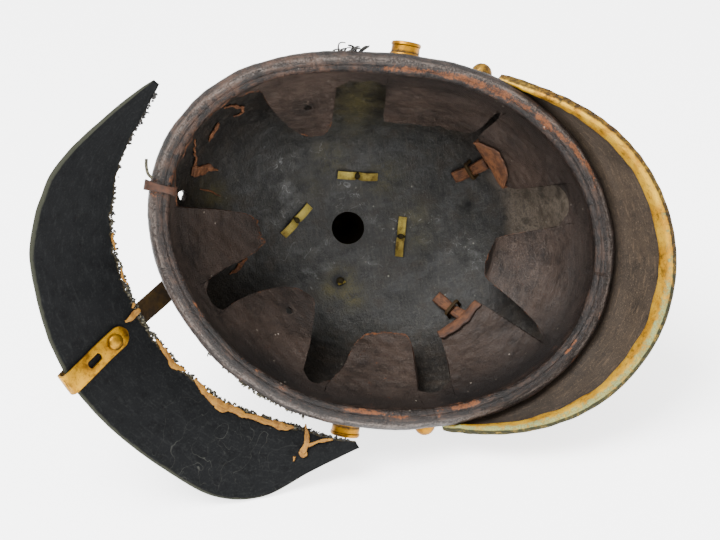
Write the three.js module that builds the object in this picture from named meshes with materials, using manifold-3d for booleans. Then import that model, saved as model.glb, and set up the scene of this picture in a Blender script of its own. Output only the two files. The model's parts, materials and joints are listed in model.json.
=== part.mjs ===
// An old leather spiked helmet, lying on its left side with its hollow to the viewer.
// Its rear visor has torn off the shell and hangs by the brass rear spine.
// Helmet frame: +X front, +Y the wearer's left, +Z crown, origin in the middle of the
// lower edge. The whole helmet is then turned into the way it rests. Millimetres.
import * as THREE from 'three';
import { mergeVertices } from 'three/addons/utils/BufferGeometryUtils.js';
import Module from 'manifold-3d';

const wasm = await Module();
wasm.setup();

// ---- driving dimensions -------------------------------------------------------------

const GAP = 0.3;
const RAD = Math.PI / 180;

// Lower edge, measured over the rolled lining: a mean radius and the lobes on it.
const RIM_MEAN = 102.1;
const RIM_LOBES = [
  { waves: 1, along: 2.5, across: -0.5 },
  { waves: 2, along: 11.7, across: 1.5 },
  { waves: 3, along: 0, across: -1.45 },
  { waves: 4, along: 0.3, across: 1.2 },
];

const SHELL_WALL = 2.6;
const SHELL_INSET = 2.5;        // shell face to the outside of the lining roll
const SHELL_EDGE_Z = 4.5;
const CROWN_Z = 126;
const CROWN_X = -4;
const DOME_POWER = 0.87;        // 1 would be an ellipse, lower is fuller
const ROUNDING = { from: 0.4, to: 0.72 };  // part of the rise where the rim's lobes fade out
const SPIKE_HOLE_R = 10;
const VENT = { bearing: 182.7, z: 68.5, radius: 2.4 };  // behind, under the spine when worn
const SHELL_COLUMNS = 54;
const SHELL_ROWS = 9;
const SHELL_ROW_POWER = 1.15;   // rows closer together toward the edge

const GROOVE_GAP = 0.45;
const FLANGE_TOP_Z = 7.5;       // lining turned up outside the shell
const ROLL_WIDTH = 10.6;
const BAND_INSET = 9;
const BAND_WALL = 1.9;
const TONGUE_TIP_Z = 72;
const SLIT_Z = 27;

// Lining tongues, by bearing. Bearings in degrees from the front toward the left, where each is
// rooted and where its tip stands; reach is how far the tip leans in; square is how
// blunt the tip is.
const TONGUES = [
  { root: [-11, 16], tip: [-8, 13.5], height: 73, reach: 41, square: 5 },
  { root: [24, 52], tip: [22, 45], height: 70, reach: 31, square: 8 },
  { root: [64, 97], tip: [57.5, 84], height: 72, reach: 33, square: 6 },
  { root: [108, 143], tip: [112, 139], height: 73, reach: 43, square: 2.6 },
  { root: [156, 180], tip: [160, 181], height: 71, reach: 46, square: 3.4 },
  { root: [224, 248], tip: [225, 246], height: 72, reach: 33, square: 2.4 },
  { root: [265, 304], tip: [271, 306], height: 69, reach: 22, square: 8 },
  { root: [307, 334], tip: [308.5, 333], height: 70, reach: 26, square: 6 },
];
const COLUMN_STEP = 6;          // widest step between the lining's columns, in degrees
// Ragged stump of the tongue that is torn away, from the rear to the right rear.
const STUMP = { from: 183, to: 221, heights: [21, 13, 17, 12, 15, 13, 20] };

const VISOR_WALL = 2.8;
const VISOR_REACH = 17;         // front visor beyond the roll, at the middle
const VISOR_END_REACH = 3.5;
const VISOR_HALF_ANGLE = 62;
const VISOR_ROOT_Z = 10.8;
const VISOR_TIP_Z = -27;
const VISOR_END_Z = 8;
const VISOR_BOW = 1.2;
const VISOR_COLUMNS = 26;
const VISOR_STATIONS = [0, 0.34, 0.68, 1];

const TRIM_WALL = 0.8;
const TRIM_GAP = 0.45;
const TRIM_LEG = 6.5;
const TRIM_END_LEG = 2.6;

// The torn rear visor, right horn to left horn: torn inner edge and trimmed outer edge.
const TORN_VISOR = [
  { inner: [-113, -56, -20], outer: [-115, -58, -20] },
  { inner: [-120, -38, -12], outer: [-135, -36, -23] },
  { inner: [-127, -19, -4], outer: [-150, -15, -30] },
  { inner: [-128, 3, 4], outer: [-157, 5, -29] },
  { inner: [-126, 19, 11], outer: [-159, 26, -23] },
  { inner: [-118, 38, 17], outer: [-155, 47, -15] },
  { inner: [-108, 55, 22], outer: [-147, 68, -8] },
  { inner: [-98, 66, 26], outer: [-137, 85, -2] },
  { inner: [-83, 79, 28], outer: [-127, 97, 3] },
  { inner: [-62, 91, 28], outer: [-109, 112, 8] },
  { inner: [-47, 95, 27], outer: [-86, 126, 13] },
  { inner: [-32, 97, 23], outer: [-60, 137, 17] },
  { inner: [-19, 98, 18], outer: [-36, 134, 16] },
  { inner: [-7, 99, 10], outer: [-14, 117, 12] },
  { inner: [4, 98, 3], outer: [7, 100, 2] },
];
const TORN_COLUMNS = 42;

// The rear spine: over the dome from the base plate, then across the torn visor, from its
// torn edge on the top side to the outer edge, and folded back along the underside.
const SPINE_WIDTH = 11;
const SPINE_WALL = 1.2;
const SPINE_GAP = 0.75;         // between the spine and the torn visor
const SPINE_OVER_DOME = { bearings: [177, 158], steps: 12, lowRise: 18, bend: 1.2 };
const SPINE_CROSSING = { inner: 0.43, outer: 0.515, fold: 1.05, back: 0.24 };
const SPINE_STUD = { across: 0.42, head: 4, rise: 2.6, shank: 1.3, sides: 14 };
const SPINE_SLOT = { across: 0.72, length: 7.5, width: 3.2 };
const TORN_WIDTH = 50;

// Studs are measured from the shell's outer face: seat is how far off it a head sits, and
// foot how far in the shank ends.
const POST = { z: 17, flange: 7.7, stem: 6.4, length: 9.5, shank: 2.5, seat: 1.2, sides: 16 };
const TRIM_RIVET = { x: 39, z: 14, head: 5.4, rise: 6.5, shank: 1.6, seat: 1.4, sides: 12 };
const SIDE_FOOT = SHELL_WALL + 2;
const DRILL = 12;               // half length of a cutting cylinder
const DRILL_SIDES = 10;

// Spike and base plate. Heights of the two profiles are from the neck's top bead; the
// bore is the hollow that runs up inside.
const BASE_R = 40;
const BASE_WALL = 1.2;
const NECK_Z = 138;
const SPIKE_SIDES = 22;
const SPIKE_OUTSIDE = [
  { r: 15, z: -9 }, { r: 12.5, z: -3 }, { r: 13.5, z: 0 }, { r: 16, z: 1.5 },
  { r: 16, z: 4.5 }, { r: 13, z: 6 }, { r: 11.5, z: 9 }, { r: 9, z: 30 },
  { r: 5.5, z: 60 }, { r: 2.2, z: 82 }, { r: 0, z: 84 },
];
const SPIKE_BORE = [
  { r: 0, z: 60 }, { r: 3, z: 52 }, { r: 7.5, z: 28 }, { r: 10, z: 8 }, { r: 10.6, z: -3 },
];
const STUD_RING_R = 31;
const STUD_HEAD_R = 4.6;
const STUD_SHANK_R = 1.8;
const STUD_RISE = 3.2;
const STUD_FOOT = SHELL_WALL + 1.9;
const PRONG = { length: 12.6, width: 4.5, wall: 1.2, splay: 7 };
const BASE_STUDS = [
  { name: 'base_stud_front', bearing: 0, prongs: 87 },
  { name: 'base_stud_left', bearing: 90, prongs: null },
  { name: 'base_stud_rear', bearing: 180, prongs: 124 },
  { name: 'base_stud_right', bearing: 270, prongs: -6 },
];

// Front plate, a plain sunburst fitted to the dome, and the two loops that hold it.
const PLATE = { z: 72, halfWidth: 64, above: 60, below: 45, rays: 14, notch: 0.9, wall: 0.9 };
const PLATE_RINGS = [0.3, 0.55, 0.8, 1];
const PLATE_CLEAR = 0.9;
const BOSS_RISE = 5;
const DOME_ARC_R = 110;         // mean radius of the dome's profile in front
const LOOP = { width: 10.4, eyeWidth: 7, eyeHeight: 3.2, thick: 2, depth: 6.6 };
const LOOPS = [
  { name: 'plate_wedge_left', bearing: 30, z: 99 },
  { name: 'plate_wedge_right', bearing: -37, z: 95 },
];
const WEDGE = { length: 24, width: 6.4, thick: 2.6 };

// How the helmet lies, in degrees from upright: leant over on its left side, tilted until
// the spike's tip, the dome and the torn visor all touch the ground, then turned.
const REST = { lean: -120.54, tilt: 18.55, turn: -4.78 };

// ---- materials ----------------------------------------------------------------------

const finish = (color, roughness, metalness) =>
  new THREE.MeshStandardMaterial({ color, roughness, metalness });
const SHELL_LEATHER = finish(0x2a2826, 0.5, 0);
const LINING_LEATHER = finish(0x38291f, 0.45, 0);
const VISOR_LEATHER = finish(0x4a3b30, 0.6, 0);
const TORN_LEATHER = finish(0x1b1d1f, 0.55, 0);
const TAN_LEATHER = finish(0x8a4f2a, 0.7, 0);
const BRASS = finish(0xb08a3a, 0.35, 0.9);

// ---- solids from rings of points ------------------------------------------------------

const mix = (a, b, t) => a + (b - a) * t;

function smoothstep(from, to, value) {
  const t = Math.min(1, Math.max(0, (value - from) / (to - from)));
  return t * t * (3 - 2 * t);
}

// Skins a row of equal point loops. A closed row joins its last loop to its first; an
// open one is capped, each loop running out on one face and back on the other.
function loft(loops, closedRow) {
  const count = loops[0].length;
  const position = loops.flat().flatMap((p) => [p.x, p.y, p.z]);
  const index = [];
  const at = (row, i) => (row % loops.length) * count + (i % count);
  const quad = (a, b, c, d) => index.push(a, b, c, a, c, d);
  const lastRow = closedRow ? loops.length : loops.length - 1;
  for (let row = 0; row < lastRow; row += 1) {
    for (let i = 0; i < count; i += 1) {
      quad(at(row, i), at(row, i + 1), at(row + 1, i + 1), at(row + 1, i));
    }
  }
  if (!closedRow) {
    const end = loops.length - 1;
    for (let i = 0; i < count / 2 - 1; i += 1) {
      const back = count - 1 - i;
      quad(at(0, i), at(0, back), at(0, back - 1), at(0, i + 1));
      quad(at(end, i), at(end, i + 1), at(end, back - 1), at(end, back));
    }
  }
  const geometry = new THREE.BufferGeometry();
  geometry.setAttribute('position', new THREE.Float32BufferAttribute(position, 3));
  geometry.setIndex(index);
  return outward(geometry);
}

// Turns a closed geometry's faces to point out.
function outward(geometry) {
  const p = geometry.attributes.position;
  const index = geometry.index.array;
  const [a, b, c] = [new THREE.Vector3(), new THREE.Vector3(), new THREE.Vector3()];
  let volume = 0;
  for (let i = 0; i < index.length; i += 3) {
    a.fromBufferAttribute(p, index[i]);
    b.fromBufferAttribute(p, index[i + 1]);
    c.fromBufferAttribute(p, index[i + 2]);
    volume += a.dot(b.cross(c));
  }
  if (volume < 0) {
    for (let i = 0; i < index.length; i += 3) {
      [index[i], index[i + 1]] = [index[i + 1], index[i]];
    }
  }
  return geometry;
}

function toSolid(geometry) {
  const bare = geometry.clone();
  bare.deleteAttribute('normal');
  bare.deleteAttribute('uv');
  const merged = mergeVertices(bare, 1e-4);
  return new wasm.Manifold(new wasm.Mesh({
    numProp: 3,
    vertProperties: new Float32Array(merged.attributes.position.array),
    triVerts: new Uint32Array(merged.index.array),
  }));
}

function toGeometry(solid) {
  const mesh = solid.getMesh();
  const geometry = new THREE.BufferGeometry();
  geometry.setAttribute('position', new THREE.Float32BufferAttribute(mesh.vertProperties, 3));
  geometry.setIndex(Array.from(mesh.triVerts));
  return geometry;
}

function cut(geometry, cutters) {
  const solid = cutters.reduce((rest, one) => rest.subtract(toSolid(one)), toSolid(geometry));
  return toGeometry(solid);
}

function join(geometries) {
  const solid = geometries.slice(1)
    .reduce((sum, one) => sum.add(toSolid(one)), toSolid(geometries[0]));
  return toGeometry(solid);
}

// A turned solid about +Z from [radius, height] pairs that start and end on the axis.
function turned(profile, sides) {
  const points = profile.map(([r, z]) => new THREE.Vector2(r, z));
  return outward(mergeVertices(bareLathe(points, sides)).rotateX(Math.PI / 2));
}

function bareLathe(points, sides) {
  const lathe = new THREE.LatheGeometry(points, sides);
  lathe.deleteAttribute('normal');
  lathe.deleteAttribute('uv');
  return lathe;
}

function block(x, y, z, centre = [0, 0, 0]) {
  return new THREE.BoxGeometry(x, y, z).translate(...centre);
}

// ---- rim and dome ---------------------------------------------------------------------

function rimRadius(bearing) {
  return RIM_LOBES.reduce((sum, lobe) => sum
    + lobe.along * Math.cos(lobe.waves * bearing)
    + lobe.across * Math.sin(lobe.waves * bearing), RIM_MEAN);
}

function rimPoint(bearing, beyond, z) {
  const r = rimRadius(bearing) + beyond;
  return new THREE.Vector3(r * Math.cos(bearing), r * Math.sin(bearing), z);
}

// A point of the dome, with its wall's outer face at depth 0. The rise runs from 0 at
// the edge to a quarter turn at the crown, where the outline has become round.
function domePoint(bearing, rise, depth = 0) {
  const round = smoothstep(ROUNDING.from, ROUNDING.to, rise / (Math.PI / 2));
  const outline = mix(rimRadius(bearing), RIM_MEAN, round) - SHELL_INSET - depth;
  const r = outline * Math.max(0, Math.cos(rise)) ** DOME_POWER;
  const lift = Math.sin(rise) ** DOME_POWER;
  const z = SHELL_EDGE_Z + (CROWN_Z - SHELL_EDGE_Z - depth) * lift;
  return new THREE.Vector3(r * Math.cos(bearing) + CROWN_X * lift, r * Math.sin(bearing), z);
}

function riseAtHeight(z) {
  return Math.asin(((z - SHELL_EDGE_Z) / (CROWN_Z - SHELL_EDGE_Z)) ** (1 / DOME_POWER));
}

function riseAtRadius(r, depth = 0) {
  return Math.acos((r / (RIM_MEAN - SHELL_INSET - depth)) ** (1 / DOME_POWER));
}

// A frame on the dome: X runs down toward the edge, Z out of the wall.
function domeFrame(bearing, rise, lift = 0) {
  const step = 0.01;
  const centre = domePoint(bearing, rise);
  const down = domePoint(bearing, rise - step).sub(domePoint(bearing, rise + step)).normalize();
  const along = domePoint(bearing + step, rise).sub(domePoint(bearing - step, rise)).normalize();
  const out = new THREE.Vector3().crossVectors(down, along).normalize();
  const side = new THREE.Vector3().crossVectors(out, down);
  return new THREE.Matrix4().makeBasis(down, side, out)
    .setPosition(centre.addScaledVector(out, lift));
}

// ---- shell ------------------------------------------------------------------------------

function shellBody() {
  const loops = [];
  for (let column = 0; column < SHELL_COLUMNS; column += 1) {
    const bearing = (column / SHELL_COLUMNS) * 2 * Math.PI;
    const face = (depth) => {
      const top = riseAtRadius(SPIKE_HOLE_R, depth);
      const points = [];
      for (let row = 0; row <= SHELL_ROWS; row += 1) {
        points.push(domePoint(bearing, top * (row / SHELL_ROWS) ** SHELL_ROW_POWER, depth));
      }
      return points;
    };
    loops.push([...face(0), ...face(SHELL_WALL).reverse()]);
  }
  return loft(loops, true);
}

const loopFrame = (loop) => domeFrame(loop.bearing * RAD, riseAtHeight(loop.z));
const studFrame = (stud) => domeFrame(stud.bearing * RAD, riseAtRadius(STUD_RING_R));
const postFrame = (side) => sideFrame(side * 90 * RAD, POST.z);

// A frame on the shell's side: Z points out level, X along the edge.
function sideFrame(bearing, z) {
  const centre = domePoint(bearing, riseAtHeight(z));
  const out = new THREE.Vector3(0, Math.sign(Math.sin(bearing)), 0);
  const along = new THREE.Vector3(1, 0, 0);
  const up = new THREE.Vector3().crossVectors(out, along);
  return new THREE.Matrix4().makeBasis(along, up, out).setPosition(centre);
}

function rivetFrame(side) {
  const r = rimRadius(side * 67 * RAD);
  const bearing = side * Math.acos(TRIM_RIVET.x / r);
  return sideFrame(bearing, TRIM_RIVET.z);
}

const hole = (radius) => turned(
  [[0, -DRILL], [radius, -DRILL], [radius, DRILL], [0, DRILL]], DRILL_SIDES);

function shell() {
  const cutters = [];
  BASE_STUDS.forEach((stud) => {
    cutters.push(hole(STUD_SHANK_R + GAP).applyMatrix4(studFrame(stud)));
  });
  LOOPS.forEach((loop) => {
    const slit = block(LOOP.thick + 2 * GAP, LOOP.width + 2 * GAP, 2 * DRILL);
    cutters.push(slit.applyMatrix4(loopFrame(loop)));
  });
  [1, -1].forEach((side) => {
    cutters.push(hole(POST.shank + GAP).applyMatrix4(postFrame(side)));
    cutters.push(hole(TRIM_RIVET.shank + GAP).applyMatrix4(rivetFrame(side)));
  });
  const ventFrame = domeFrame(VENT.bearing * RAD, riseAtHeight(VENT.z));
  cutters.push(hole(VENT.radius).applyMatrix4(ventFrame));
  return cut(shellBody(), cutters);
}

// ---- lining -----------------------------------------------------------------------------

// The lining's columns round the rim: the bearing at its root and at its tip, the height
// that it reaches and how far it leans in.
function tongueColumns({ root, tip, height, reach, square }) {
  const steps = 2 * Math.ceil((root[1] - root[0]) / COLUMN_STEP * 0.8);
  const columns = [];
  for (let step = 0; step <= steps; step += 1) {
    const u = Math.sin(mix(-90, 90, step / steps) * RAD);
    const full = (1 - Math.abs(u) ** square) ** (1 / square);
    columns.push({
      root: mix(...root, (u + 1) / 2),
      tip: mix(...tip, (u + 1) / 2),
      top: mix(SLIT_Z, height, full),
      reach,
    });
  }
  return columns;
}

function gapColumns(before, after) {
  const start = before.root[1];
  const end = after.root[0] + (after.root[0] < start ? 360 : 0);
  const torn = end > STUMP.to && start < STUMP.from;
  const count = torn ? STUMP.heights.length : Math.ceil((end - start) / COLUMN_STEP) - 1;
  const columns = [];
  for (let i = 0; i < count; i += 1) {
    const bearing = torn ? mix(STUMP.from, STUMP.to, i / (count - 1))
      : mix(start, end, (i + 1) / (count + 1));
    const reach = mix(before.reach, after.reach, (bearing - start) / (end - start));
    const top = torn ? STUMP.heights[i] : SLIT_Z - 2;
    columns.push({ root: bearing, tip: bearing, top, reach });
  }
  return columns;
}

const liningColumns = () => TONGUES.flatMap((tongue, i) => [
  ...tongueColumns(tongue),
  ...gapColumns(tongue, TONGUES[(i + 1) % TONGUES.length]),
]);

const bandInset = (z, reach) => BAND_INSET + reach * (z / TONGUE_TIP_Z) ** 2;

// One loop of the lining: up the outside, round the roll, up the band to the tongue's
// tip, and back down behind it to the groove that takes the shell's edge.
function liningLoop({ root, tip, top, reach }) {
  const bearingAt = (z) => {
    const lean = Math.max(0, z - SLIT_Z) / (TONGUE_TIP_Z - SLIT_Z);
    return mix(root, tip, lean) * RAD;
  };
  const grooveOut = SHELL_INSET - GROOVE_GAP;
  const grooveIn = SHELL_INSET + SHELL_WALL + GROOVE_GAP;
  const grooveZ = SHELL_EDGE_Z - GAP;
  const roll = [
    [grooveOut, FLANGE_TOP_Z], [0.8, FLANGE_TOP_Z + 0.3], [0, 5], [0.8, 1.8], [3.4, 0],
    [7.4, 0.3], [ROLL_WIDTH, 4],
  ];
  const stations = [0, 0.33, 0.67, 1].map((t) => mix(FLANGE_TOP_Z, top, t));
  const front = stations.map((z) => [bandInset(z, reach), z]);
  const back = stations.map((z) => [bandInset(z, reach) - BAND_WALL, z]).reverse();
  const groove = [[grooveIn, 6.4], [grooveIn, grooveZ], [grooveOut, grooveZ]];
  return [...roll, ...front, ...back, ...groove]
    .map(([inset, z]) => rimPoint(bearingAt(z), -inset, z));
}

const lining = () => loft(liningColumns().map(liningLoop), true);

// ---- front visor and its brass trim -----------------------------------------------------

// Station across the front visor: 0 at the shell, 1 at the outer edge, with lift off its
// underside.
function visorPoint(bearing, across, lift) {
  const u = Math.abs(bearing) / (VISOR_HALF_ANGLE * RAD);
  const reach = VISOR_END_REACH + VISOR_REACH * Math.cos(u * Math.PI / 2);
  const tipZ = mix(VISOR_TIP_Z, VISOR_END_Z, u * u);
  const rootOut = GAP - SHELL_INSET;
  const slope = Math.atan2(VISOR_ROOT_Z - tipZ, reach - rootOut);
  const bow = VISOR_BOW * 4 * across * (1 - across);
  const out = mix(rootOut, reach, across) + (lift + bow) * Math.sin(slope);
  const z = mix(VISOR_ROOT_Z, tipZ, across) + (lift + bow) * Math.cos(slope);
  return rimPoint(bearing, Math.max(out, rootOut), z);
}

function visorBearings() {
  const bearings = [];
  for (let i = 0; i <= VISOR_COLUMNS; i += 1) {
    bearings.push(mix(-VISOR_HALF_ANGLE, VISOR_HALF_ANGLE, i / VISOR_COLUMNS) * RAD);
  }
  return bearings;
}

function frontVisor() {
  const loops = visorBearings().map((bearing) => [
    ...VISOR_STATIONS.map((t) => visorPoint(bearing, t, 0)),
    ...VISOR_STATIONS.map((t) => visorPoint(bearing, t, VISOR_WALL)).reverse(),
  ]);
  return loft(loops, false);
}

// Direction across the visor at its outer edge, and off its underside.
function visorEdge(bearing) {
  const edge = visorPoint(bearing, 1, 0);
  const across = edge.clone().sub(visorPoint(bearing, VISOR_STATIONS[2], 0)).normalize();
  const off = visorPoint(bearing, 1, VISOR_WALL).sub(edge).normalize();
  return { edge, across, off };
}

function frontVisorTrim() {
  const inner = TRIM_GAP;
  const outer = TRIM_GAP + TRIM_WALL;
  const loops = visorBearings().map((bearing) => {
    const { edge, across, off } = visorEdge(bearing);
    const u = Math.abs(bearing) / (VISOR_HALF_ANGLE * RAD);
    const leg = mix(TRIM_LEG, TRIM_END_LEG, u ** 3);
    const at = (a, h) => edge.clone().addScaledVector(across, a).addScaledVector(off, h);
    const under = -outer;
    const over = VISOR_WALL + outer;
    return [
      at(-leg, under), at(outer * 0.3, under), at(outer, VISOR_WALL * 0.2),
      at(outer, VISOR_WALL * 0.8), at(outer * 0.3, over), at(-leg, over),
      at(-leg, over - TRIM_WALL), at(inner * 0.5, over - TRIM_WALL),
      at(inner, VISOR_WALL * 0.8), at(inner, VISOR_WALL * 0.2),
      at(inner * 0.5, -inner), at(-leg, -inner),
    ];
  });
  return loft(loops, false);
}

// ---- torn rear visor --------------------------------------------------------------------

const curveThrough = (key) => new THREE.CatmullRomCurve3(
  TORN_VISOR.map((row) => new THREE.Vector3(...row[key])), false, 'centripetal');
const TORN_INNER = curveThrough('inner');
const TORN_OUTER = curveThrough('outer');

// A point of the torn visor: along runs from the right horn to the left one, across from
// the torn edge to the outer one, and lift stands off its mid surface toward the top side.
function tornPoint(along, across, lift) {
  const at = (u, v) => TORN_INNER.getPoint(u).lerp(TORN_OUTER.getPoint(u), v);
  const u0 = Math.max(0, along - 0.02);
  const u1 = Math.min(1, along + 0.02);
  const run = at(u1, across).sub(at(u0, across));
  const width = at(along, 1).sub(at(along, 0));
  const off = new THREE.Vector3().crossVectors(run, width).normalize();
  return at(along, across).addScaledVector(off, lift);
}

function tornVisor() {
  const stations = [0, 0.5, 1];
  const loops = [];
  for (let i = 0; i <= TORN_COLUMNS; i += 1) {
    const along = mix(0.004, 0.996, i / TORN_COLUMNS);
    loops.push([
      ...stations.map((t) => tornPoint(along, t, -VISOR_WALL / 2)),
      ...stations.map((t) => tornPoint(along, t, VISOR_WALL / 2)).reverse(),
    ]);
  }
  return cut(loft(loops, false), [spineStudHole()]);
}

// ---- rear spine -------------------------------------------------------------------------

const crossingAlong = (across) => mix(SPINE_CROSSING.inner, SPINE_CROSSING.outer, across);

// The spine's middle line with the side that faces away from the shell.
function spinePath() {
  const path = [];
  const { bearings, steps, lowRise, bend } = SPINE_OVER_DOME;
  const wallLift = SPINE_WALL / 2 + 3 * GAP;
  const start = riseAtRadius(BASE_R + GAP * 2);
  for (let i = 0; i <= steps; i += 1) {
    const rise = mix(start, lowRise * RAD, i / steps);
    const bearing = mix(...bearings, (i / steps) ** bend) * RAD;
    const frame = domeFrame(bearing, rise, wallLift);
    path.push(new THREE.Vector3().setFromMatrixPosition(frame));
  }
  const overLift = VISOR_WALL / 2 + SPINE_WALL / 2 + SPINE_GAP;
  [0.1, 0.4, 0.7, 1].forEach((t) => path.push(tornPoint(crossingAlong(t), t, overLift)));
  const round = (overLift * 0.9) / TORN_WIDTH;
  const foldAlong = crossingAlong(SPINE_CROSSING.fold);
  path.push(tornPoint(foldAlong, 1 + round * 0.8, overLift * 0.6));
  path.push(tornPoint(foldAlong, 1 + round, 0));
  path.push(tornPoint(foldAlong, 1 + round * 0.8, -overLift * 0.6));
  [1, 0.8, 0.6, 0.4, SPINE_CROSSING.back].forEach((t) => {
    path.push(tornPoint(crossingAlong(t), t, -overLift));
  });
  return path;
}

const spineStudHole = () => hole(SPINE_STUD.shank + GAP)
  .applyMatrix4(underFrame(SPINE_STUD.across));

// A frame on the torn visor where the spine lies: X across it, Z off its underside.
function underFrame(across) {
  const centre = tornPoint(crossingAlong(across), across, 0);
  const ahead = tornPoint(crossingAlong(across + 0.1), across + 0.1, 0);
  const x = ahead.sub(centre).normalize();
  const under = tornPoint(crossingAlong(across), across, -1).sub(centre).normalize();
  const y = new THREE.Vector3().crossVectors(under, x).normalize();
  const z = new THREE.Vector3().crossVectors(x, y);
  return new THREE.Matrix4().makeBasis(x, y, z).setPosition(centre);
}

function spine() {
  const path = spinePath();
  const loops = [];
  let side = null;
  path.forEach((point, i) => {
    const before = path[Math.max(0, i - 1)];
    const after = path[Math.min(path.length - 1, i + 1)];
    const run = after.clone().sub(before).normalize();
    const wanted = i <= SPINE_OVER_DOME.steps ? domeSide(point, run) : side;
    side = wanted.addScaledVector(run, -wanted.dot(run)).normalize();
    const off = new THREE.Vector3().crossVectors(run, side).normalize();
    const last = i === path.length - 1 ? 0.45 : 1;
    const w = (SPINE_WIDTH / 2) * last;
    const h = SPINE_WALL / 2;
    const at = (a, b) => point.clone().addScaledVector(side, a).addScaledVector(off, b);
    loops.push([at(-w, -h), at(w, -h), at(w, h), at(-w, h)]);
    side = side.clone();
  });
  const slot = block(SPINE_SLOT.length, SPINE_SLOT.width, 3, [0, 0, 2.5]);
  return cut(loft(loops, false), [
    spineStudHole(),
    slot.applyMatrix4(underFrame(SPINE_SLOT.across)),
  ]);
}

// Level-ish side direction of the strip where it lies on the dome.
function domeSide(point, run) {
  const out = new THREE.Vector3(point.x - CROWN_X, point.y, point.z * 0.8).normalize();
  return new THREE.Vector3().crossVectors(out, run).normalize();
}

function spineStud() {
  const { across, head, rise, shank, sides } = SPINE_STUD;
  const seat = VISOR_WALL / 2 + SPINE_WALL + SPINE_GAP + GAP;
  return turned([
    [0, -seat], [shank, -seat], [shank, seat], [head, seat], [head, seat + 0.8],
    [head * 0.7, seat + rise * 0.8], [0, seat + rise],
  ], sides).applyMatrix4(underFrame(across));
}

// ---- side posts and trim rivets ---------------------------------------------------------

function sidePost(side) {
  const { flange, stem, length, shank, seat, sides } = POST;
  return turned([
    [0, -SIDE_FOOT], [shank, -SIDE_FOOT], [shank, seat], [flange, seat],
    [flange, seat + 2.6], [stem, seat + 3.2], [stem, length - 1], [stem - 1, length],
    [0, length],
  ], sides).applyMatrix4(postFrame(side));
}

function trimRivet(side) {
  const { head, rise, shank, seat, sides } = TRIM_RIVET;
  return turned([
    [0, -SIDE_FOOT], [shank, -SIDE_FOOT], [shank, seat], [head, seat],
    [head, seat + 0.9], [head * 0.75, seat + rise * 0.75], [0, seat + rise],
  ], sides).applyMatrix4(rivetFrame(side));
}

// ---- spike and its base -----------------------------------------------------------------

// Base plate, neck, collar and spike are soldered into one hollow piece.
function spike() {
  const under = [];
  for (let i = 0; i <= 3; i += 1) {
    const r = mix(SPIKE_HOLE_R, BASE_R, i / 3);
    const rise = riseAtRadius(r);
    under.push([r, domePoint(0, rise).z + GAP]);
  }
  const top = under.map(([r, z]) => [r, z + BASE_WALL]).reverse();
  const atNeck = ({ r, z }) => [r, NECK_Z + z];
  const profile = [
    ...SPIKE_BORE.map(atNeck), ...under, ...top.slice(0, -1), ...SPIKE_OUTSIDE.map(atNeck),
  ];
  const body = turned(profile, SPIKE_SIDES);
  body.translate(CROWN_X, 0, 0);
  const holes = BASE_STUDS.map((stud) => (
    hole(STUD_SHANK_R + GAP).applyMatrix4(studFrame(stud))));
  return cut(body, holes);
}

function baseStud({ bearing, prongs }) {
  const seat = BASE_WALL + 2 * GAP + 0.2;
  const pin = turned([
    [0, -STUD_FOOT], [STUD_SHANK_R, -STUD_FOOT], [STUD_SHANK_R, seat], [STUD_HEAD_R, seat],
    [STUD_HEAD_R, seat + STUD_RISE * 0.25], [STUD_HEAD_R * 0.7, seat + STUD_RISE * 0.75],
    [0, seat + STUD_RISE],
  ], 12);
  const pieces = [pin];
  if (prongs !== null) {
    [0, 180].forEach((turn) => {
      const flat = block(PRONG.length, PRONG.width, PRONG.wall, [PRONG.length / 2, 0, 0]);
      flat.rotateY(PRONG.splay * RAD).rotateZ((prongs - bearing + turn) * RAD);
      pieces.push(flat.translate(0, 0, PRONG.wall / 2 + 0.1 - STUD_FOOT));
    });
  }
  return join(pieces).applyMatrix4(studFrame({ bearing }));
}

// ---- front plate and wedges -------------------------------------------------------------

// A point of the front plate: a runs along the dome, h up it, both in mm.
function platePoint(a, h, lift) {
  const rise = riseAtHeight(PLATE.z) + h / DOME_ARC_R;
  const r = domePoint(0, rise).x;
  return new THREE.Vector3().setFromMatrixPosition(domeFrame(a / r, rise, lift));
}

function platePlate() {
  const spokes = PLATE.rays * 2;
  const rings = PLATE_RINGS;
  const boss = [BOSS_RISE * 0.7, 0, 0, 0];
  const faces = [PLATE_CLEAR, PLATE_CLEAR + PLATE.wall];
  const position = [];
  const index = [];
  faces.forEach((face, side) => {
    position.push(...platePoint(0, 0, face + BOSS_RISE).toArray());
    rings.forEach((ring, level) => {
      for (let i = 0; i < spokes; i += 1) {
        const angle = (i / spokes) * 2 * Math.PI;
        const tip = level === 3 && i % 2 === 1 ? PLATE.notch : 1;
        const high = Math.sin(angle) > 0 ? PLATE.above : PLATE.below;
        const a = PLATE.halfWidth * ring * tip * Math.cos(angle);
        const h = high * ring * tip * Math.sin(angle);
        position.push(...platePoint(a, h, face + boss[level]).toArray());
      }
    });
  });
  const half = 1 + rings.length * spokes;
  const at = (side, level, i) => side * half + 1 + level * spokes + (i % spokes);
  for (let i = 0; i < spokes; i += 1) {
    index.push(0, at(0, 0, i), at(0, 0, i + 1), half, at(1, 0, i + 1), at(1, 0, i));
    for (let level = 0; level < rings.length - 1; level += 1) {
      const [a, b, c, d] = [at(0, level, i), at(0, level, i + 1), at(0, level + 1, i + 1),
        at(0, level + 1, i)];
      index.push(a, c, b, a, d, c);
      const [e, f, g, k] = [a, b, c, d].map((v) => v + half);
      index.push(e, f, g, e, g, k);
    }
    const rim = rings.length - 1;
    const [a, b] = [at(0, rim, i), at(0, rim, i + 1)];
    index.push(a, a + half, b + half, a, b + half, b);
  }
  const geometry = new THREE.BufferGeometry();
  geometry.setAttribute('position', new THREE.Float32BufferAttribute(position, 3));
  geometry.setIndex(index);
  return outward(geometry);
}

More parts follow.
